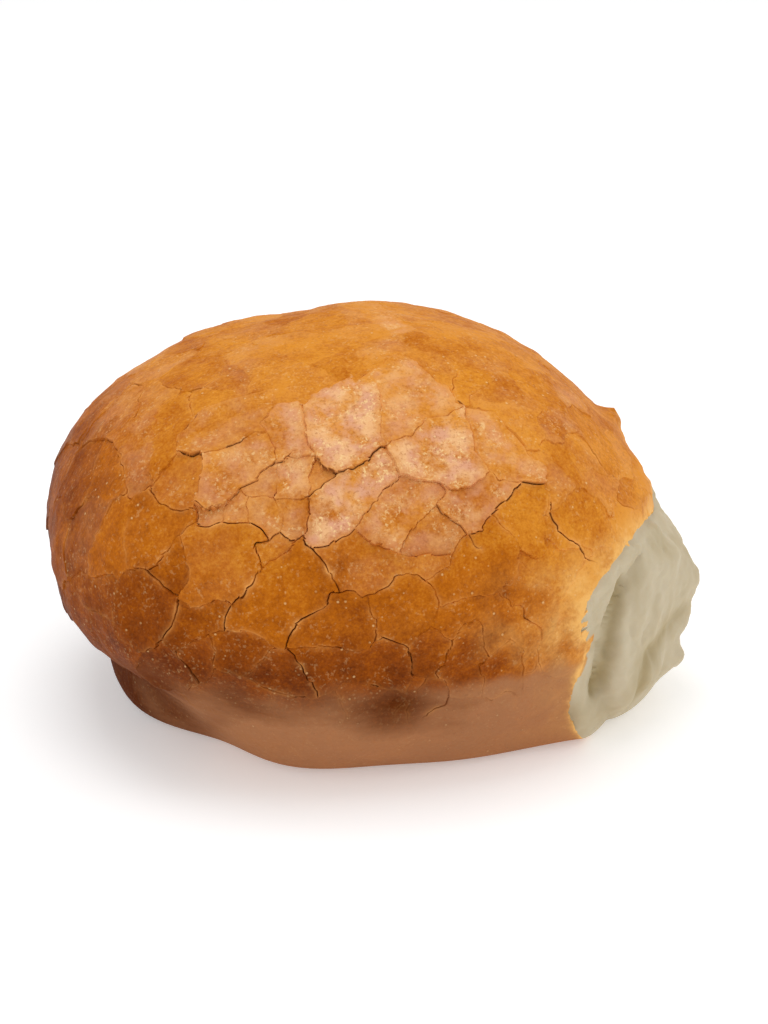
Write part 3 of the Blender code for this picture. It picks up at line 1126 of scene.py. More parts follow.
@dataclass
class Cloud:
    """Points of the plain surface with what they lie on.

    Attributes:
        points: Places on the plain surface, in millimetres.
        lie: The Lie value of each point.
        open: How open the crack is at a crack's middle point, otherwise 0.
        side: The direction across the crack at a crack's middle point.
        inset: Distance to the nearest crack's middle.
        near_open: How open that crack is.
    """

    points: Array
    lie: Array
    open: Array
    side: Array
    inset: Array
    near_open: Array

    @classmethod
    def of(cls, points: Array, lie: Lie, opening: Array | float = 0.0) -> "Cloud":
        """A cloud of points that all lie on the same thing."""
        blank = np.zeros(len(points))
        kind = np.full(len(points), lie.value)
        return cls(points, kind, blank + opening, np.zeros((len(points), 3)), blank + FAR, blank)

    @classmethod
    def joined(cls, clouds: Sequence["Cloud"]) -> "Cloud":
        """Several clouds as one."""
        columns = [[getattr(cloud, item.name) for cloud in clouds] for item in fields(cls)]
        return cls(*map(np.concatenate, columns))

    def where(self, keep: Array) -> "Cloud":
        """The points that a mask or an index keeps."""
        return Cloud(*(getattr(self, item.name)[keep] for item in fields(self)))


def one_per_cell(cells: Array, offset: Array) -> Array:
    """The index of the point nearest the middle of each cell.

    Args:
        cells: A whole number, or a row of them, that names each point's cell.
        offset: Each point's distance from its cell's middle.

    Returns:
        One index for each cell that holds a point.
    """
    order = np.argsort(offset, kind="stable")
    _, first = np.unique(cells[order], axis=0, return_index=True)
    return order[first]


@dataclass
class SurfacePoints:
    """Gathers the points that the loaf's surface is made of.

    Attributes:
        form: The plain shape.
        net: The crust's flakes.
        fine: The share of the points that is made.
        front_azimuth: The middle of the half that is made finest, in degrees.
        front_half: Half of that half's width.
        candidates: How many points are tried for each kind of line.
        front_count: How many even points the whole loaf would have at the front's spacing.
        back_count: The same at the back's spacing.
        crumb_count: The same at the crumb's.
        base_count: The same at the base's.
        crack_rows: Distances of the rows of points beside a crack's middle.
        crack_clear: Room kept free of even points beside a crack.
        crack_lowest: Height below which nothing is cracked.
        crack_steps: Spacing along a crack of the front, and of the back.
        rim_rows: Distances past the torn edge of the rows beside it.
        rim_step: Spacing along the torn edge.
        lowest: Height below which the even points belong to the base.
    """

    form: LoafForm
    net: FlakeNet
    fine: float = 1.0
    front_azimuth: float = -110.0
    front_half: float = 85.0
    candidates: int = 260_000
    front_count: int = 92_000
    back_count: int = 42_000
    crumb_count: int = 130_000
    base_count: int = 9_000
    crack_rows: tuple[float, ...] = (0.27, 0.85)
    crack_clear: float = 1.25
    crack_lowest: float = 9.0
    crack_steps: tuple[float, float] = (0.8, 1.3)
    rim_rows: tuple[float, ...] = (-1.9, -0.95, -0.32, 0.3, 0.95)
    rim_step: float = 0.7
    lowest: float = 1.2

    def in_front(self, points: Array) -> Array:
        """True on the half of the loaf that is made finest."""
        turn = np.abs(turn_between(self.form.azimuth(points), self.front_azimuth))
        return (turn < self.front_half) | (points[:, 2] > 112.0)

    def openness(self, points: Array) -> Array:
        """How far cracks open at each place: little on the base band and on the very top.

        Args:
            points: Places in millimetres.

        Returns:
            A share from 0 to 1 for each.
        """
        azimuth = self.form.azimuth(points)
        wander = 3.0 * Waves(71, 40.0).at(points)
        band = ramp(points[:, 2] + wander, 20.0, 33.0)
        crown = 1.0 - 0.55 * ramp(points[:, 2] + wander, 112.0, 120.0)
        front = np.abs(turn_between(azimuth, self.front_azimuth)) < self.front_half
        side = np.where(front, 1.0, 0.8)
        rim = ramp(-self.form.past_tear(points), 1.0, 9.0)
        return band * crown * side * rim

    def slide(self, points: Array, level: Callable[[Array], Array],
              steps: int = 3) -> tuple[Array, Array]:
        """Move points within the surface until a level is zero.

        Args:
            points: Places on the surface.
            level: A function of points whose zero line is wanted.
            steps: How many Newton steps are taken.

        Returns:
            The points on the line, and the unit direction in the surface in which the level rises.
        """
        reach = 0.05
        for step in range(steps + 1):
            normal = self.form.normals(points)
            first = unit(np.cross(normal, np.array([0.31, 0.52, 0.79])))
            second = np.cross(normal, first)
            value = level(points)
            slope_first = (level(points + reach * first) - value) / reach
            slope_second = (level(points + reach * second) - value) / reach
            slope = np.maximum(np.hypot(slope_first, slope_second), 1e-6)
            rise = unit(first * slope_first[:, None] + second * slope_second[:, None])
            if step < steps:
                shift = np.clip(value / slope, -1.5, 1.5)
                points = self.form.settle(points - rise * shift[:, None])
        return points, rise

    def crack_strength(self, points: Array, found: Survey) -> Array:
        """How open the crack at each point's nearest edge is, from 0 to 1.

        Args:
            points: Places in millimetres.
            found: What the net says about them.

        Returns:
            One opening for each point.
        """
        swing = np.where(found.drawn, 0.14, 0.35)
        uneven = np.clip(0.95 + swing * Waves(84, 9.0).at(points), 0.15, 1.3)
        uneven *= np.where(found.drawn, 1.0, ramp(points[:, 2], 30.0, 42.0))
        return np.clip(found.open * uneven, 0.0, 1.0) * self.openness(points)

    def scattered_cracks(self) -> Cloud:
        """A row of points along the middle of every crack between scattered flakes."""
        points = self.form.cast(spiral_directions(int(self.candidates * self.fine)))
        usable = (points[:, 2] > self.crack_lowest) & (self.form.past_tear(points) < -1.2)
        points = points[usable]
        near, other, inset, _ = self.net.scattered_near(points)
        close = inset < 0.7
        points, own, other = points[close], near[close], other[close]
        free = (self.net.member(points) < 0) & (distance_to(points, self.net.line) > 0.5)
        points, own, other = points[free], own[free], other[free]
        points, rise = self.slide(points, lambda place: self.net.edge_level(place, own, other))
        first, second, inset, third = self.net.scattered_near(points)
        same = ((first == own) & (second == other)) | ((first == other) & (second == own))
        good = same & (third > 0.3) & (inset < 0.08)
        good &= (self.net.member(points) < 0) & (distance_to(points, self.net.line) > 0.7)
        points, rise, own, other = points[good], rise[good], own[good], other[good]
        cells, offset = self._stations(points, own, other)
        picked = one_per_cell(cells, offset)
        return self._middle_row(points[picked], rise[picked])

    def _stations(self, points: Array, own: Array, other: Array) -> tuple[Array, Array]:
        """Share an edge's points among cells along it.

        Args:
            points: Places on the edges between scattered flakes.
            own: The flake on one side of each.
            other: The flake on its other side.

        Returns:
            Each point's cell, and its distance from the cell's middle.
        """
        low = np.minimum(own, other)
        high = np.maximum(own, other)
        middles = self.net.middles[self.net.count:]
        outward = unit((middles[high] + middles[low]) / 2.0 - self.form.centre)
        along = unit(np.cross(middles[high] - middles[low], outward))
        place = dot(points, along)
        step = np.where(self.in_front(points), *self.crack_steps)
        middle = np.floor(place / step)
        cells = np.stack([low, high, middle.astype(int)], axis=1)
        return cells, np.abs(place / step - middle - 0.5)

    def drawn_cracks(self) -> Cloud:
        """A row of points along the middle of every drawn edge."""
        every = slice(None, None, 2)
        points = self.net.line[every]
        side = np.cross(self.form.normals(points), self.net.line_along[every])
        return self._middle_row(points, unit(side))

    def loose_cracks(self) -> Cloud:
        """A row of points along each crack that runs inside a flake."""
        rows = []
        for route, widest in LOOSE_CRACKS:
            table = np.array(route, float)
            knots = self.form.place(-table[:, 0], table[:, 1])
            reached = np.concatenate([[0.0], np.cumsum(np.linalg.norm(np.diff(knots, axis=0), axis=1))])
            stations = np.arange(0.0, reached[-1], 0.75)
            line = np.stack([np.interp(stations, reached, knots[:, axis]) for axis in range(3)], axis=1)
            line = self.form.settle(self.net.ragged.at(self.form.settle(line)))
            side = unit(np.cross(self.form.normals(line), unit(np.gradient(line, axis=0))))
            share = stations / reached[-1]
            opening = widest * ramp(share, -0.3, 0.1) * ramp(1.0 - share, -0.1, 0.35)
            rows.append(self._middle_row(line, side, opening))
        return Cloud.joined(rows)

    def _middle_row(self, points: Array, side: Array, opening: Array | None = None) -> Cloud:
        """A crack's middle row, which keeps the direction across it.

        Args:
            points: Places along the crack.
            side: Directions across it.
            opening: How open it is, or None for what the net says.

        Returns:
            The row.
        """
        if opening is None:
            opening = self.crack_strength(points, self.net.survey(points))
        cloud = Cloud.of(points, Lie.CRACK, opening)
        cloud.side = side
        return cloud

    def beside(self, middles: Cloud) -> Cloud:
        """Rows of points on both sides of the cracks' middles, none of them in another crack.

        Args:
            middles: The middle rows of all the cracks.

        Returns:
            The rows beside them.
        """
        rows = []
        for row in self.crack_rows:
            for way in (-1.0, 1.0):
                points = self.form.settle(middles.points + way * row * middles.side)
                clear = distance_to(points, middles.points) > 0.8 * row
                rows.append(Cloud.of(points[clear], Lie.SKIN))
        cloud = Cloud.joined(rows)
        cells = np.round(cloud.points / 0.16).astype(int)
        return cloud.where(one_per_cell(cells, np.zeros(len(cells))))

    def rim_level(self, points: Array) -> Array:
        """Signed distance past the crust's ragged end at the tear.

        Args:
            points: Places in millimetres.

        Returns:
            Millimetres, above zero on the crumb.
        """
        bursts = ramp(Waves(44, 11.0).at(points), -0.2, 1.2)
        ragged = 0.22 * Waves(41, 12.0).at(points) + (0.08 + 0.2 * bursts) * Waves(42, 3.4).at(points)
        ragged += (0.05 + 0.14 * bursts) * Waves(43, 1.7).at(points)
        return self.form.past_tear(points) + self.form.torn_back(points) + ragged

    def rim_points(self) -> Cloud:
        """Rows of points along the crust's torn edge, on the crust and on the crumb."""
        points = self.form.cast(spiral_directions(int(self.candidates * self.fine)))
        points = points[(np.abs(self.rim_level(points)) < 1.2) & (points[:, 2] > 1.0)]
        points, rise = self.slide(points, self.rim_level, 4)
        good = np.abs(self.rim_level(points)) < 0.05
        points, rise = points[good], rise[good]
        _, along, height = self.form.tear_frame(points)
        turn = np.arctan2(height - self.form.mound_height, along - self.form.mound_along)
        place = turn * 37.0 / self.rim_step
        middle = np.floor(place)
        picked = one_per_cell(middle.astype(int), np.abs(place - middle - 0.5))
        points, rise = points[picked], rise[picked]
        clouds = [Cloud.of(points, Lie.RIM)]
        for row in self.rim_rows:
            beside = self.form.settle(points + row * rise)
            fits = np.abs(self.rim_level(beside)) > 0.5 * abs(row)
            kind = Lie.SKIN if row < 0.0 else Lie.CRUMB
            clouds.append(Cloud.of(beside[fits], kind))
        return Cloud.joined(clouds)

    def even_points(self) -> Cloud:
        """Evenly spread points: finest on the crumb, then on the front, the back and the base."""
        clouds = []
        points = self.form.cast(spiral_directions(int(self.crumb_count * self.fine)))
        crumb = self.rim_level(points) > 1.5
        clouds.append(Cloud.of(points[crumb & (points[:, 2] > self.lowest)], Lie.CRUMB))
        for count, front in ((self.front_count, True), (self.back_count, False)):
            points = self.form.cast(spiral_directions(int(count * self.fine)))
            crust = (self.rim_level(points) < -2.3) & (points[:, 2] > self.lowest)
            crust &= self.in_front(points) == front
            clouds.append(Cloud.of(points[crust], Lie.SKIN))
        points = self.form.cast(spiral_directions(self.base_count))
        flat = (points[:, 2] <= 0.3) & (np.hypot(points[:, 0], points[:, 1]) > 5.0)
        clouds.append(Cloud.of(points[flat], Lie.BASE))
        return Cloud.joined(clouds)

    def gather(self) -> Cloud:
        """All the surface's points, with room kept round the cracks and the torn edge."""
        rim = self.rim_points()
        loose = self.loose_cracks()
        drawn = self.drawn_cracks()
        drawn = drawn.where(distance_to(drawn.points, loose.points) > 0.5)
        middles = Cloud.joined([loose, drawn, self.scattered_cracks()])
        clear = (distance_to(middles.points, rim.points) > 0.7) & (self.rim_level(middles.points) < -0.5)
        middles = middles.where(clear & (middles.points[:, 2] > self.crack_lowest))
        sides = self.beside(middles)
        clear = (distance_to(sides.points, rim.points) > 0.5) & (self.rim_level(sides.points) < 0.0)
        sides = sides.where(clear)
        even = self.even_points()
        skin = even.lie == Lie.SKIN.value
        clear = distance_to(even.points, middles.points) > self.crack_clear
        cloud = Cloud.joined([rim, middles, sides, even.where(clear | ~skin)])
        cloud.inset, index = nearest_of(cloud.points, middles.points)
        cloud.near_open = middles.open[index]
        return cloud


# --------------------------------------------------------------------------- relief


@dataclass
class Relief:
    """Lifts and sinks the plain surface, and gives each point the values of its finish.

    Attributes:
        form: The plain shape.
        net: The crust's flakes.
        surface: Knows the torn edge, and how far cracks open.
        cloud: The surface's points.
        crack_depth: Depth of the most open crack.
        curl: How far a flake's lip stands up beside an open crack.
        shingle: How much a flake's foot stands out over the next one, as a slope.
        flatten: How flat a drawn flake's face is against the round body.
        flatten_scattered: The same for a scattered flake.
        reach: Distance from a flake's middle beyond which it isn't flattened further.
        front_azimuth: The middle of the front, in degrees.
        bake_and_light_levels: Heights, each with how light the crust is there, partly its bake colour and
            partly painted light from above.
        band_height: Height of the smooth band's upper edge.
    """

    form: LoafForm
    net: FlakeNet
    surface: SurfacePoints
    cloud: Cloud
    crack_depth: float = 0.42
    curl: float = 0.3
    shingle: float = 0.03
    flatten: float = 1.6
    flatten_scattered: float = 0.35
    reach: float = 11.5
    front_azimuth: float = -112.0
    bake_and_light_levels: Places = (
        (0.0, 0.35), (15.0, 0.33), (30.0, 0.22), (45.0, 0.26), (60.0, 0.52),
        (75.0, 0.66), (90.0, 0.74), (105.0, 0.84), (122.0, 0.92),
    )
    band_height: float = 36.5

    def __post_init__(self) -> None:
        """Work out what several of the reliefs and values share."""
        points = self.cloud.points
        self.found = self.net.survey(points)
        self.past = self.surface.rim_level(points)
        self.off_base = ramp(points[:, 2], 3.0, 15.0)
        on_rim = self.cloud.lie == Lie.RIM.value
        self.is_crumb = (self.cloud.lie == Lie.CRUMB.value) | ((self.past > 0.0) & ~on_rim)
        self.is_crack = self.cloud.lie == Lie.CRACK.value
        self.spread = self.surface.openness(points)
        self.turn = turn_between(self.form.azimuth(points), self.front_azimuth)
        self.bake = self.bake_and_light_tone()

    def flake_height(self, own: Array) -> Array:
        """Height of a flake's face: its own level and tilt, and its foot lapped over the next.

        Args:
            own: Each point's flake.

        Returns:
            Millimetres at each point.
        """
        points = self.cloud.points
        middle = self.net.middles[own]
        away = np.minimum(np.linalg.norm(points - middle, axis=1), self.reach)
        height = self.net.lift[own] + dot(self.net.tilt[own], points - middle)
        height += self.shingle * np.clip(middle[:, 2] - points[:, 2], -11.0, 11.0)
        flatten = np.where(own < self.net.count, self.flatten, self.flatten_scattered)
        height += flatten * (away**2 / 160.0 - 0.35)
        return height * self.spread

    def crust_height(self) -> Array:
        """Height of the crust over the plain shape: face, curled lip, sunk crack and soft bumps."""
        points = self.cloud.points
        face = self.flake_height(self.found.own)
        over = self.flake_height(self.found.other)
        bumps = 0.12 * Waves(51, 12.0).at(points) + 0.07 * Waves(52, 5.0).at(points)
        bumps += 0.55 * Waves(53, 46.0).at(points)
        lip = self.curl * (0.7 + 0.5 * Waves(54, 15.0).at(points)) * self.cloud.near_open
        lip *= np.exp(-self.cloud.inset / 1.4) * self.spread
        edge = np.where(np.abs(face - over) > 1.6, face, np.minimum(face, over))
        sunk = edge - self.crack_depth * self.cloud.open
        return np.where(self.is_crack, sunk, face + lip) + bumps

    def rim_height(self) -> Array:
        """Rise of the thin crust towards its torn edge, where it curls out."""
        near = np.exp(np.minimum(self.past, 0.0) / 2.2)
        uneven = 0.75 + 0.35 * Waves(61, 7.0).at(self.cloud.points)
        return 0.7 * near * uneven

    def crumb_height(self) -> Array:
        """Height of the crumb: soft folds that meet in creases, then small pores."""
        points = self.cloud.points
        stretched = points * np.array([1.0, 1.0, 0.6])
        fold = np.sqrt(Waves(91, 26.0).at(stretched) ** 2 + 0.2)
        small = np.sqrt(Waves(92, 11.0).at(stretched) ** 2 + 0.1)
        height = 1.1 * (fold - 0.8) + 0.35 * (small - 0.8) + self.form.creases(points)[0]
        height += 0.12 * Waves(93, 3.4).at(points) + 0.04 * Waves(94, 1.9).at(points)
        start = ramp(self.past, 0.0, 4.0)
        return height * start - 0.7 * (1.0 - ramp(self.past, 0.6, 3.5))

    def height(self) -> Array:
        """Height of every point over the plain shape."""
        near_rim = ramp(-self.past, 0.0, 7.0)
        crust = self.crust_height() * near_rim + self.rim_height() * (self.past < 0.2)
        total = np.where(self.is_crumb, self.crumb_height(), crust)
        total = np.where(self.cloud.lie == Lie.RIM.value, 0.1, total)
        return total * self.off_base

    def moved(self) -> Array:
        """The points with their relief, none of them below the base."""
        points = self.cloud.points
        moved = points + self.form.normals(points) * self.height()[:, None]
        moved[:, 2] = np.maximum(moved[:, 2], 0.0)
        moved[self.cloud.lie == Lie.BASE.value, 2] = 0.0
        return moved

    def bake_and_light_tone(self) -> Array:
        """How light the crust is, from 0 on the darkest to 1 on the most golden, partly its bake colour
        and partly painted light and shade.

        It lightens with height, partly as painted light from above. The left is darker, its far edge
        darker still with painted shade where the crust turns away, and the right lighter. At the back,
        which has no left or right, these differences fade out.
        """
        points = self.cloud.points
        height = points[:, 2]
        tone = np.interp(height, *np.array(self.bake_and_light_levels).T)
        behind = 1.0 - ramp(np.abs(self.turn), 95.0, 170.0)
        left = ramp(-self.turn, 15.0, 70.0) * (1.0 - ramp(height, 85.0, 118.0)) * behind
        right = ramp(self.turn, 20.0, 65.0) * (1.0 - ramp(height, 60.0, 105.0)) * behind
        tone += -0.26 * left + 0.36 * right
        # Painted shade at the far left edge, where the crust turns away from the light.
        tone -= 0.36 * ramp(-self.turn, 50.0, 84.0) * (1.0 - ramp(height, 70.0, 100.0)) * behind
        tone += 0.04 * Waves(101, 30.0).at(points)
        return np.clip(tone, 0.0, 1.0)

    def band(self) -> Array:
        """1 on the smooth band of crust that lies next to the base, 0 above it."""
        points = self.cloud.points
        wander = 0.8 * Waves(71, 40.0).at(points) + 1.0 * Waves(72, 11.0).at(points)
        soft = 3.0 + 5.0 * ramp(-self.turn, -20.0, 30.0)
        level = points[:, 2] + wander
        return 1.0 - ramp((level - self.band_height) / soft, -1.0, 1.0)

    def crack_values(self) -> Array:
        """Crack darkness with painted shade, pale lip with painted highlight, flake tone, and flour with
        painted sheen, of each point.

        The first is a crack's darker colour with painted shade in its groove, and a painted shadow on a
        flake's foot that lies lower than the flake over the crack. On the crumb it is painted shade, as
        deep as the crease that the point lies in.
        """
        found, inset, near_open = self.found, self.cloud.inset, self.cloud.near_open
        # Painted shadow on a flake's foot where it lies lower than the flake over the crack.
        foot = self.flake_height(found.own) < self.flake_height(found.other) - 0.08
        shade = np.where(foot, 0.75 * near_open * np.exp(-((inset / 0.42) ** 2)), 0.0)
        # In a crack: its darker colour with painted shade in the groove.
        dark = np.where(self.is_crack, self.cloud.open, shade)
        # A pale lip beside each crack: partly the paler exposed crust edge, partly a painted highlight,
        # brighter where the bake tone with its painted light is lighter.
        uneven = 0.65 + 0.5 * Waves(103, 9.0).at(self.cloud.points)
        lip = np.exp(-inset / 0.5) * uneven * (0.35 + 0.65 * near_open) * self.spread
        lip *= 0.35 + 0.65 * ramp(self.bake, 0.1, 0.6)
        lip = np.where(self.is_crack, 0.0, np.clip(lip, 0.0, 1.0))
        tone = 0.5 + 0.5 * self.net.tone[found.own]
        middle = 0.5 + 0.25 * (self.net.tone[found.own] + self.net.tone[found.other])
        tone = np.where(self.is_crack, middle, tone)
        # Flour with its painted sheen, mixed across a crack and thinner near a flake's edge.
        flour_and_sheen = self.net.flour_and_sheen[found.own]
        mixed = 0.5 * (flour_and_sheen + self.net.flour_and_sheen[found.other])
        flour_and_sheen = np.where(self.is_crack, mixed, flour_and_sheen)
        flour_and_sheen = flour_and_sheen * (0.55 + 0.45 * ramp(found.inset, 0.0, 3.5))
        # On the crumb: painted shade, darker the deeper the crease.
        dark = np.where(self.is_crumb, self.form.creases(self.cloud.points)[1] / 3.0, dark)
        return np.stack([dark, lip, tone, flour_and_sheen], axis=1)

    def place_values(self) -> Array:
        """Bake with painted light and shade, crumb, nearness of the torn edge and base band of each point.
        """
        crumb = np.where(self.is_crumb, 1.0, 0.0)
        height = self.cloud.points[:, 2]
        high = (0.12 + 0.88 * ramp(height, 32.0, 48.0)) * (1.0 - ramp(height, 64.0, 80.0))
        wide = 4.6 + 3.2 * Waves(62, 14.0).at(self.cloud.points).clip(-0.8, 1.2)
        wide += 2.5 * ramp(height, 44.0, 56.0)
        near = np.exp(-np.abs(self.past) / 0.8) * (0.9 - 0.6 * ramp(height, 60.0, 76.0))
        edge = np.maximum(high * np.exp(-np.abs(self.past) / wide), near)
        return np.stack([self.bake, crumb, edge, self.band()], axis=1)


# --------------------------------------------------------------------------- shader kit


class Value:
    """A shader socket: sums and products of values add their Math nodes."""

    def __init__(self, kit: "NodeKit", socket: bpy.types.NodeSocket) -> None:
        """Wrap one output socket."""
        self.kit = kit
        self.socket = socket

    def __add__(self, other: "Value | float") -> "Value":
        """Sum."""
        return self.kit.maths("ADD", self, other)

    __radd__ = __add__

    def __sub__(self, other: "Value | float") -> "Value":
        """Difference."""
        return self.kit.maths("SUBTRACT", self, other)

    def __rsub__(self, other: "Value | float") -> "Value":
        """Difference with this value second."""
        return self.kit.maths("SUBTRACT", other, self)

    def __mul__(self, other: "Value | float") -> "Value":
        """Product."""
        return self.kit.maths("MULTIPLY", self, other)

    __rmul__ = __mul__

    def least(self, other: "Value | float") -> "Value":
        """The smaller of two values."""
        return self.kit.maths("MINIMUM", self, other)

    def most(self, other: "Value | float") -> "Value":
        """The greater of two values."""
        return self.kit.maths("MAXIMUM", self, other)

    def step(self, start: float, end: float) -> "Value":
        """A smooth step from 0 at the start to 1 at the end."""
        settings = {"interpolation_type": "SMOOTHSTEP"}
        sockets = {"Value": self, "From Min": start, "From Max": end}
        return self.kit.node("ShaderNodeMapRange", settings, sockets)


class NodeKit:
    """Adds nodes to one material."""

    def __init__(self, name: str) -> None:
        """Start an empty material."""
        self.material = bpy.data.materials.new(name)
        self.material.use_nodes = True
        self.tree = self.material.node_tree
        self.tree.nodes.clear()

    def node(self, kind: str, settings: dict[str, Any] | None = None,
             sockets: dict[str | int, Any] | None = None, output: str | int = 0) -> Value:
        """Add one node.

        Args:
            kind: The node's type name.
            settings: Its properties, or "stops" for a ramp's stops, set first.
            sockets: Values or links for its input sockets.
            output: The output socket that is wanted.

        Returns:
            That output.
        """
        node = self.tree.nodes.new(kind)
        for name, value in (settings or {}).items():
            if name == "stops":
                self._set_stops(node, value)
            else:
                setattr(node, name, value)
        for name, value in (sockets or {}).items():
            if isinstance(value, Value):
                self.tree.links.new(value.socket, node.inputs[name])
            else:
                node.inputs[name].default_value = value
        return Value(self, node.outputs[output] if len(node.outputs) else None)

    def _set_stops(self, node: bpy.types.Node, stops: Sequence[tuple[float, Sequence[float]]]) -> None:
        """Set a colour ramp's stops.

        Args:
            node: The ramp.
            stops: Each stop's place and colour.
        """
        elements = node.color_ramp.elements
        while len(elements) < len(stops):
            elements.new(0.5)
        for element, (place, colour) in zip(elements, stops):
            element.position = place
            element.color = colour

    def maths(self, operation: str, first: "Value | float", second: "Value | float") -> Value:
        """A Math node."""
        return self.node("ShaderNodeMath", {"operation": operation}, {0: first, 1: second})

    def mix(self, share: "Value | float", first: "Value | Tint", second: "Value | Tint") -> Value:
        """A Mix node on colours."""
        settings = {"data_type": "RGBA", "clamp_factor": True}
        return self.node("ShaderNodeMix", settings, {0: share, 6: first, 7: second}, 2)

    def parts(self, name: str) -> tuple[Value, Value, Value, Value]:
        """The four values of a colour attribute.

        Args:
            name: The attribute's name.

        Returns:
            Its four values.
        """
        attribute = self.node("ShaderNodeAttribute", {"attribute_name": name}, output="Color")
        colour = self.node("ShaderNodeSeparateColor", None, {0: attribute})
        sockets = [*colour.socket.node.outputs, attribute.socket.node.outputs["Alpha"]]
        return tuple(Value(self, socket) for socket in sockets)

    def noise(self, size: float, detail: float = 3.0, roughness: float = 0.55,
              stretch: Sequence[float] = (1.0, 1.0, 1.0), offset: float = 0.0) -> Value:
        """Cloudy values on Object coordinates, whose grains are about `size` millimetres."""
        spot = self.spot(stretch, offset)
        sockets = {"Vector": spot, "Scale": 1.0 / (size * MM), "Detail": detail, "Roughness": roughness}
        return self.node("ShaderNodeTexNoise", None, sockets)

    def cells(self, size: float, offset: float) -> Value:
        """Distance to scattered spots on Object coordinates, about `size` millimetres apart."""
        sockets = {"Vector": self.spot((1.0, 1.0, 1.0), offset), "Scale": 1.0 / (size * MM)}
        return self.node("ShaderNodeTexVoronoi", {"feature": "F1"}, sockets, "Distance")

    def spot(self, stretch: Sequence[float], offset: float) -> Value:
        """Object coordinates, stretched and moved."""
        place = self.node("ShaderNodeTexCoord", output="Object")
        sockets = {"Vector": place, "Location": (offset, offset * 0.7, offset * 1.3), "Scale": stretch}
        return self.node("ShaderNodeMapping", None, sockets)

    def bump(self, height: Value, depth: float, strength: float, below: "Value | None" = None) -> Value:
        """A Bump node, on top of another where there is one.

        Args:
            height: What is raised.
            depth: How far, in millimetres.
            strength: The share of it that shows.
            below: The bump under this one.

        Returns:
            The bent normal.
        """
        sockets = {"Height": height, "Distance": depth * MM, "Strength": strength}
        if below is not None:
            sockets["Normal"] = below
        return self.node("ShaderNodeBump", None, sockets)


def tint(red: int, green: int, blue: int) -> Tint:
    """A colour from display values of 0 to 255, made linear."""
    shares = [value / 255.0 for value in (red, green, blue)]
    linear = [s / 12.92 if s <= 0.04045 else ((s + 0.055) / 1.055) ** 2.4 for s in shares]
    return (*linear, 1.0)


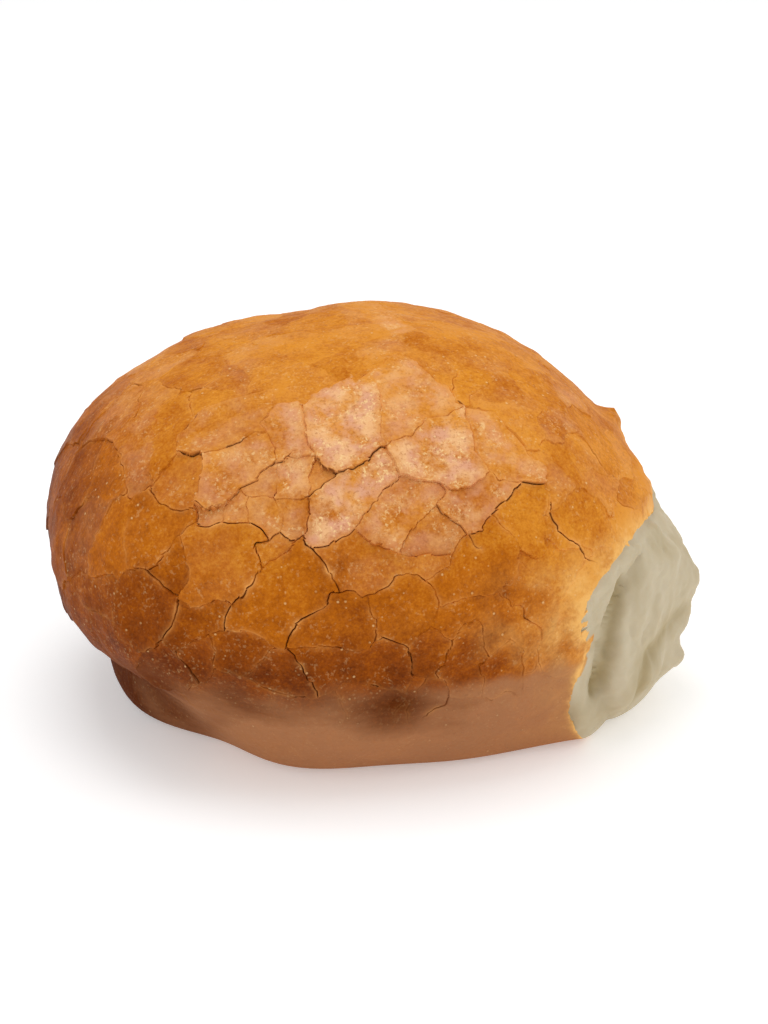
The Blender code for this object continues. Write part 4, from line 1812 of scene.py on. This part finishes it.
@dataclass(frozen=True)
class LoafFinish:
    """The finish of crust and crumb: bake colours with painted light and shade, flour with painted sheen,
    cracks with painted shade, lips with painted highlight, speckles, and soft crumb with painted shade in
    its creases.
    """

    scorched: Tint = tint(104, 44, 8)
    brown: Tint = tint(146, 70, 8)
    amber: Tint = tint(190, 104, 16)
    golden: Tint = tint(224, 144, 44)
    # Flour colours, pale and pinkish partly from a painted sheen of light from above.
    flour_and_sheen: Tint = tint(228, 168, 134)
    flour_and_sheen_cream: Tint = tint(244, 190, 136)
    # The crack colour: the crust's darker crack together with painted shade in the groove.
    crack_and_shade: Tint = tint(104, 44, 6)
    fleck: Tint = tint(166, 90, 38)
    # The lip colour: partly the paler exposed crust edge, partly a painted highlight.
    lip: Tint = tint(240, 168, 92)
    straw: Tint = tint(250, 194, 112)
    speckle: Tint = tint(252, 212, 150)
    # The base band's colours: its pale pinkish one is partly a painted sheen of the floor's reflection, and
    # its dark brown.
    base: Tint = tint(184, 130, 90)
    base_dark: Tint = tint(88, 38, 8)
    crumb: Tint = tint(200, 186, 158)
    # The crumb's painted shade in its creases.
    crumb_crease_shade: Tint = tint(150, 128, 78)

    def crust_colour(self, kit: NodeKit, crackle: Sequence[Value], place: Sequence[Value]) -> Value:
        """The crust's colour: bake with painted light and shade, flake tone, flour with painted sheen, torn
        edge, lips with painted highlight, speckles, and cracks with painted shade.

        Args:
            kit: Adds the material's nodes.
            crackle: The mesh's crack with painted shade, lip with painted highlight, tone, and flour with
                painted sheen.
            place: Its bake with painted light and shade, crumb, edge and band.

        Returns:
            The colour.
        """
        crack_and_shade, lip, tone, flour_and_sheen = crackle
        bake, _, edge, band = place
        mottle = kit.noise(8.0, 4.0, 0.6)
        grain = kit.noise(1.5, 3.0, 0.65, offset=0.3)
        fine = kit.noise(0.8, 3.0, 0.6, offset=2.9)
        # The bake tone, which carries painted light and shade, sets the colour on the ramp.
        level = bake + (tone - 0.5) * 1.1 + (mottle - 0.5) * 0.7 + (grain - 0.5) * 0.45 + (fine - 0.5) * 0.5
        stops = [(0.0, self.scorched), (0.33, self.brown), (0.66, self.amber), (1.0, self.golden)]
        colour = kit.node("ShaderNodeValToRGB", {"stops": stops}, {"Fac": level})
        # The base band: dark brown to a pale pinkish colour that is partly painted sheen from the floor's
        # reflection, paler where the bake tone with its painted light is lighter, in streaks.
        streaks = kit.noise(11.0, 4.0, 0.6, (1.0, 1.0, 2.5), 6.1)
        paler = (bake * 4.0 - 0.38 + (streaks - 0.5) * 0.5).most(0.0).least(0.82)
        base = kit.mix(paler, self.base_dark, self.base)
        colour = kit.mix(band * 0.85, colour, base)
        # Pale pinkish patches on the floury flakes: partly flour, partly a painted sheen of light from
        # above.
        patch = kit.noise(9.0, 4.0, 0.6, offset=1.7)
        flour_and_sheen_share = flour_and_sheen * (patch.step(0.36, 0.6) * 0.8 + (grain - 0.32) * 0.8)
        cream = kit.noise(7.0, 2.0, 0.5, offset=9.4).step(0.42, 0.62)
        colour = kit.mix(flour_and_sheen_share.least(0.95), colour, kit.mix(cream, self.flour_and_sheen, self.flour_and_sheen_cream))
        dark = kit.noise(1.0, 3.0, 0.6, offset=8.2).step(0.52, 0.68)
        colour = kit.mix(dark * (flour_and_sheen * 0.28 + 0.16), colour, self.fleck)
        worn = patch.step(0.36, 0.58) * 0.5 + (grain - 0.5) * 1.2 + 0.55
        colour = kit.mix((edge * worn).least(0.85), colour, self.straw)
        # Pale lips: partly the paler exposed crust edge, partly a painted highlight.
        colour = kit.mix(lip * 0.85, colour, self.lip)
        colour = kit.mix(self.marks(kit, flour_and_sheen) * (1.0 - band * 0.65), colour, self.speckle)
        # Cracks: the darker crack colour with painted shade in the grooves and painted shadow at lower
        # flakes' feet.
        return kit.mix(crack_and_shade.step(0.1, 0.8) * 0.82, colour, self.crack_and_shade)

    def marks(self, kit: NodeKit, flour_and_sheen: Value) -> Value:
        """Small pale marks: flecks and short curls of flour, and round dots.

        Args:
            kit: Adds the material's nodes.
            flour_and_sheen: How pale the crust is with flour and painted sheen.

        Returns:
            How strong the marks are, from 0 to 0.9.
        """
        flecks = kit.noise(1.2, 3.0, 0.6, offset=0.9).step(0.55, 0.66)
        curl = kit.noise(1.9, 2.0, 0.5, offset=0.9)
        line = 1.0 - kit.maths("ABSOLUTE", curl - 0.5, 0.0).step(0.01, 0.06)
        where = kit.noise(2.6, 2.0, 0.5, offset=5.1).step(0.47, 0.58)
        patch = kit.noise(8.0, 3.0, 0.55, offset=4.3).step(0.42, 0.6)
        curls = line * where * flour_and_sheen * patch * 0.55
        curls = curls.most(flecks * (patch * flour_and_sheen * 0.8 + patch * 0.13 + 0.02))
        dots = kit.cells(3.4, 0.2)
        kept = kit.noise(7.0, 2.0, offset=2.3).step(0.5, 0.62)
        small = kit.cells(1.6, 1.2)
        strewn = kit.noise(5.0, 3.0, offset=7.3).step(0.54, 0.68)
        dotted = (1.0 - dots.step(0.07, 0.15)) * kept * 0.5
        dotted = dotted.most((1.0 - small.step(0.1, 0.26)) * strewn * 0.32)
        return curls.most(dotted).least(0.9)

    def crust(self, kit: NodeKit, crackle: Sequence[Value], place: Sequence[Value]) -> Value:
        """The crust's shader: satin, with fine wrinkles and blisters.

        Args:
            kit: Adds the material's nodes.
            crackle: The mesh's crack with painted shade, lip with painted highlight, tone, and flour with
                painted sheen.
            place: Its bake with painted light and shade, crumb, edge and band.

        Returns:
            The shader.
        """
        crack_and_shade, _, _, flour_and_sheen = crackle
        fine = kit.noise(1.1, 4.0, 0.65, offset=0.5)
        broad = kit.noise(4.5, 3.0, 0.6, offset=1.1)
        blister = 1.0 - kit.cells(3.4, 0.2).step(0.05, 0.22)
        relief = kit.bump(fine, 0.25, 0.6)
        relief = kit.bump(broad, 0.8, 0.5, relief)
        relief = kit.bump(blister, 0.4, 0.5, relief)
        rough = 0.44 + fine * 0.2 + flour_and_sheen * 0.06 + crack_and_shade * 0.4 + place[3] * 0.25
        sockets = {
            "Base Color": self.crust_colour(kit, crackle, place),
            "Roughness": rough, "Normal": relief,
            "Specular IOR Level": 0.07, "Specular Tint": (1.0, 0.68, 0.42, 1.0),
        }
        return kit.node("ShaderNodeBsdfPrincipled", None, sockets)

    def crumb_shader(self, kit: NodeKit, crease_shade: Value) -> Value:
        """The crumb's shader: pale, matt and soft, with yellower painted shade in its creases, with pores.

        Args:
            kit: Adds the material's nodes.
            crease_shade: How deep in a crease the crumb lies, which sets its painted shade.

        Returns:
            The shader.
        """
        folds = kit.noise(16.0, 2.0, 0.5, stretch=(1.0, 1.0, 0.6), offset=3.1)
        pores = kit.noise(2.2, 4.0, 0.6, offset=3.7)
        # Painted shade: darker and yellower in deep creases and the low parts of the folds' bump.
        crease_shade_share = (crease_shade + (1.0 - folds.step(0.3, 0.62)) * 0.35 + (pores - 0.5) * 0.15).most(0.0)
        colour = kit.mix(crease_shade_share.least(0.95), self.crumb, self.crumb_crease_shade)
        relief = kit.bump(pores, 0.4, 0.4)
        relief = kit.bump(folds, 1.2, 0.3, relief)
        sockets = {
            "Base Color": colour, "Roughness": 0.8, "Normal": relief,
            "Subsurface Weight": 0.25, "Subsurface Radius": (1.0, 0.75, 0.5), "Subsurface Scale": 0.004,
            "Specular IOR Level": 0.25,
        }
        return kit.node("ShaderNodeBsdfPrincipled", None, sockets)

    def material(self) -> bpy.types.Material:
        """Crust and crumb in one material, told apart by the loaf's own values."""
        kit = NodeKit("loaf_finish")
        crackle = kit.parts("crackle")
        place = kit.parts("place")
        on_crumb = place[1].step(0.35, 0.65)
        both = {0: on_crumb, 1: self.crust(kit, crackle, place), 2: self.crumb_shader(kit, crackle[0])}
        mixed = kit.node("ShaderNodeMixShader", None, both)
        kit.node("ShaderNodeOutputMaterial", None, {"Surface": mixed})
        return kit.material


# --------------------------------------------------------------------------- the loaf


@dataclass
class Loaf:
    """The whole loaf: one closed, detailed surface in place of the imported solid."""

    box: Corners
    fine: float = 1.0
    sharp_edge: float = math.radians(48.0)
    form: LoafForm = field(default_factory=LoafForm)
    finish: LoafFinish = LoafFinish()

    def to_frame(self, points: Array) -> Array:
        """Points of the plain shape's own millimetres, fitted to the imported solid's box.

        Args:
            points: Places in millimetres.

        Returns:
            The points in the frame's metres.
        """
        plain = self.form.cast(spiral_directions(40_000))
        low, high = plain.min(axis=0), plain.max(axis=0)
        box_low, box_high = np.array(self.box[0]), np.array(self.box[1])
        scale = (box_high - box_low) / (high - low)
        return box_low + (points - low) * scale

    def triangles(self, points: Array) -> Array:
        """Join points of the surface into triangles.

        Each point's direction from the centre is mapped to a plane from the lowest point of
        the sphere of directions, which keeps circles round, and the plane is triangulated.

        Args:
            points: Places on the surface, the last of them in the lowest direction.

        Returns:
            The triangles' corners. The last point closes the hole round the lowest direction.
        """
        directions = unit(points - self.form.centre)
        plane = directions[:-1, :2] / (1.0 + directions[:-1, 2:3])
        places = [Vector(place) for place in plane.tolist()]
        result = delaunay_2d_cdt(places, [], [], 0, 1e-7, True)
        used = np.array([origin[0] for origin in result[3]])
        faces = used[np.array(result[2])]
        edges = np.vstack([faces[:, [0, 1]], faces[:, [1, 2]], faces[:, [2, 0]]])
        ordered = np.sort(edges, axis=1)
        _, index, count = np.unique(ordered, axis=0, return_index=True, return_counts=True)
        hull = edges[index[count == 1]]
        last = np.full(len(hull), len(points) - 1)
        cap = np.stack([hull[:, 1], hull[:, 0], last], axis=1)
        return np.vstack([faces, cap])

    def base_ring(self) -> Array:
        """A ring of points round the lowest point, and that point itself."""
        angle = np.arange(12) * math.pi / 6.0
        ring = np.stack([3.0 * np.cos(angle), 3.0 * np.sin(angle), np.zeros(12)], axis=1)
        return np.vstack([ring, [[0.0, 0.0, 0.0]]])

    def build(self) -> bpy.types.Object:
        """Make the loaf's mesh with its values, and dress it.

        Returns:
            The finished object.
        """
        net = FlakeNet(self.form)
        surface = SurfacePoints(self.form, net, self.fine)
        cloud = Cloud.joined([surface.gather(), Cloud.of(self.base_ring(), Lie.BASE)])
        LOG.info("%d flakes, %d points", len(net.middles), len(cloud.points))
        relief = Relief(self.form, net, surface, cloud)
        faces = self.triangles(cloud.points)
        mesh = bpy.data.meshes.new("loaf_skin")
        places = self.to_frame(relief.moved())
        mesh.from_pydata(places.tolist(), [], faces.tolist())
        self._add_values(mesh, "crackle", relief.crack_values())
        self._add_values(mesh, "place", relief.place_values())
        mesh.shade_smooth()
        mesh.set_sharp_from_angle(angle=self.sharp_edge)
        mesh.materials.append(self.finish.material())
        loaf = bpy.data.objects.new("loaf_skin", mesh)
        bpy.context.scene.collection.objects.link(loaf)
        LOG.info("loaf_skin: %d triangles", len(mesh.polygons))
        return loaf

    def _add_values(self, mesh: bpy.types.Mesh, name: str, values: Array) -> None:
        """Keep four values a point on the mesh, as a colour attribute."""
        attribute = mesh.attributes.new(name, "FLOAT_COLOR", "POINT")
        attribute.data.foreach_set("color", np.clip(values, 0.0, 1.0).astype(np.float32).ravel())


# --------------------------------------------------------------------------- studio


@dataclass
class Studio:
    """A pale floor, soft lights and the camera."""

    azimuth: float = -14.0
    elevation: float = 24.0
    distance: float = 0.75
    lens: float = 82.0
    target: tuple[float, float, float] = (0.0068, 0.0042, 0.057)

    def camera(self) -> None:
        """A long-lens camera that looks at the loaf from its left front, a little above."""
        data = bpy.data.cameras.new("camera")
        data.lens = self.lens
        data.sensor_width = 36.0
        data.clip_start = 0.01
        camera = bpy.data.objects.new("camera", data)
        turn, rise = math.radians(self.azimuth), math.radians(self.elevation)
        back = Vector((math.sin(turn) * math.cos(rise), -math.cos(turn) * math.cos(rise), math.sin(rise)))
        camera.location = Vector(self.target) + back * self.distance
        camera.rotation_euler = (math.pi / 2.0 - rise, 0.0, turn)
        bpy.context.scene.collection.objects.link(camera)
        bpy.context.scene.camera = camera

    def softbox(self, name: str, place: Sequence[float], size: float, power: float) -> None:
        """A square area light that faces the loaf.

        Args:
            name: The light's name.
            place: Where it stands.
            size: Its side, in metres.
            power: Its power, in watts.
        """
        data = bpy.data.lights.new(name, "AREA")
        data.shape = "SQUARE"
        data.size = size
        data.energy = power
        light = bpy.data.objects.new(name, data)
        towards = Vector((0.0, 0.0, 0.05)) - Vector(place)
        facing = towards.to_track_quat("-Z", "Y").to_matrix().to_4x4()
        light.matrix_world = Matrix.Translation(place) @ facing
        bpy.context.scene.collection.objects.link(light)

    def floor(self) -> bpy.types.Object:
        """A wide pale floor."""
        half = 6.0
        corners = [(-half, -half, 0.0), (half, -half, 0.0), (half, half, 0.0), (-half, half, 0.0)]
        mesh = bpy.data.meshes.new("floor")
        mesh.from_pydata(corners, [], [(0, 1, 2, 3)])
        kit = NodeKit("floor_paint")
        sockets = {
            "Base Color": (0.9, 0.9, 0.9, 1.0), "Roughness": 0.9, "Specular IOR Level": 0.1,
            "Emission Color": (1.0, 1.0, 1.0, 1.0), "Emission Strength": 0.3,
        }
        paint = kit.node("ShaderNodeBsdfPrincipled", None, sockets)
        kit.node("ShaderNodeOutputMaterial", None, {"Surface": paint})
        mesh.materials.append(kit.material)
        floor = bpy.data.objects.new("floor", mesh)
        bpy.context.scene.collection.objects.link(floor)
        return floor

    def world(self) -> None:
        """An even pale surround, shown as plain display colours."""
        scene = bpy.context.scene
        scene.view_settings.view_transform = "Standard"
        world = bpy.data.worlds.new("surround")
        world.use_nodes = True
        shade = world.node_tree.nodes["Background"]
        shade.inputs["Color"].default_value = (1.0, 1.0, 1.0, 1.0)
        shade.inputs["Strength"].default_value = 0.72
        scene.world = world

    def build(self) -> None:
        """Set up the whole studio."""
        self.camera()
        self.world()
        self.softbox("key", (-0.1, 0.0, 1.0), 0.5, 2.6)
        self.softbox("side", (0.8, -0.2, 0.5), 0.5, 0.85)
        self.floor()


def main() -> None:
    """Build the studio and the loaf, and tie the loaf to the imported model."""
    logging.basicConfig(level=logging.INFO, format="%(name)s: %(message)s")
    Studio().build()
    loaf = Loaf(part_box(NODE), 1.0).build()
    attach(loaf, "root")
    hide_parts(NODE)


if __name__ == "__main__":
    main()
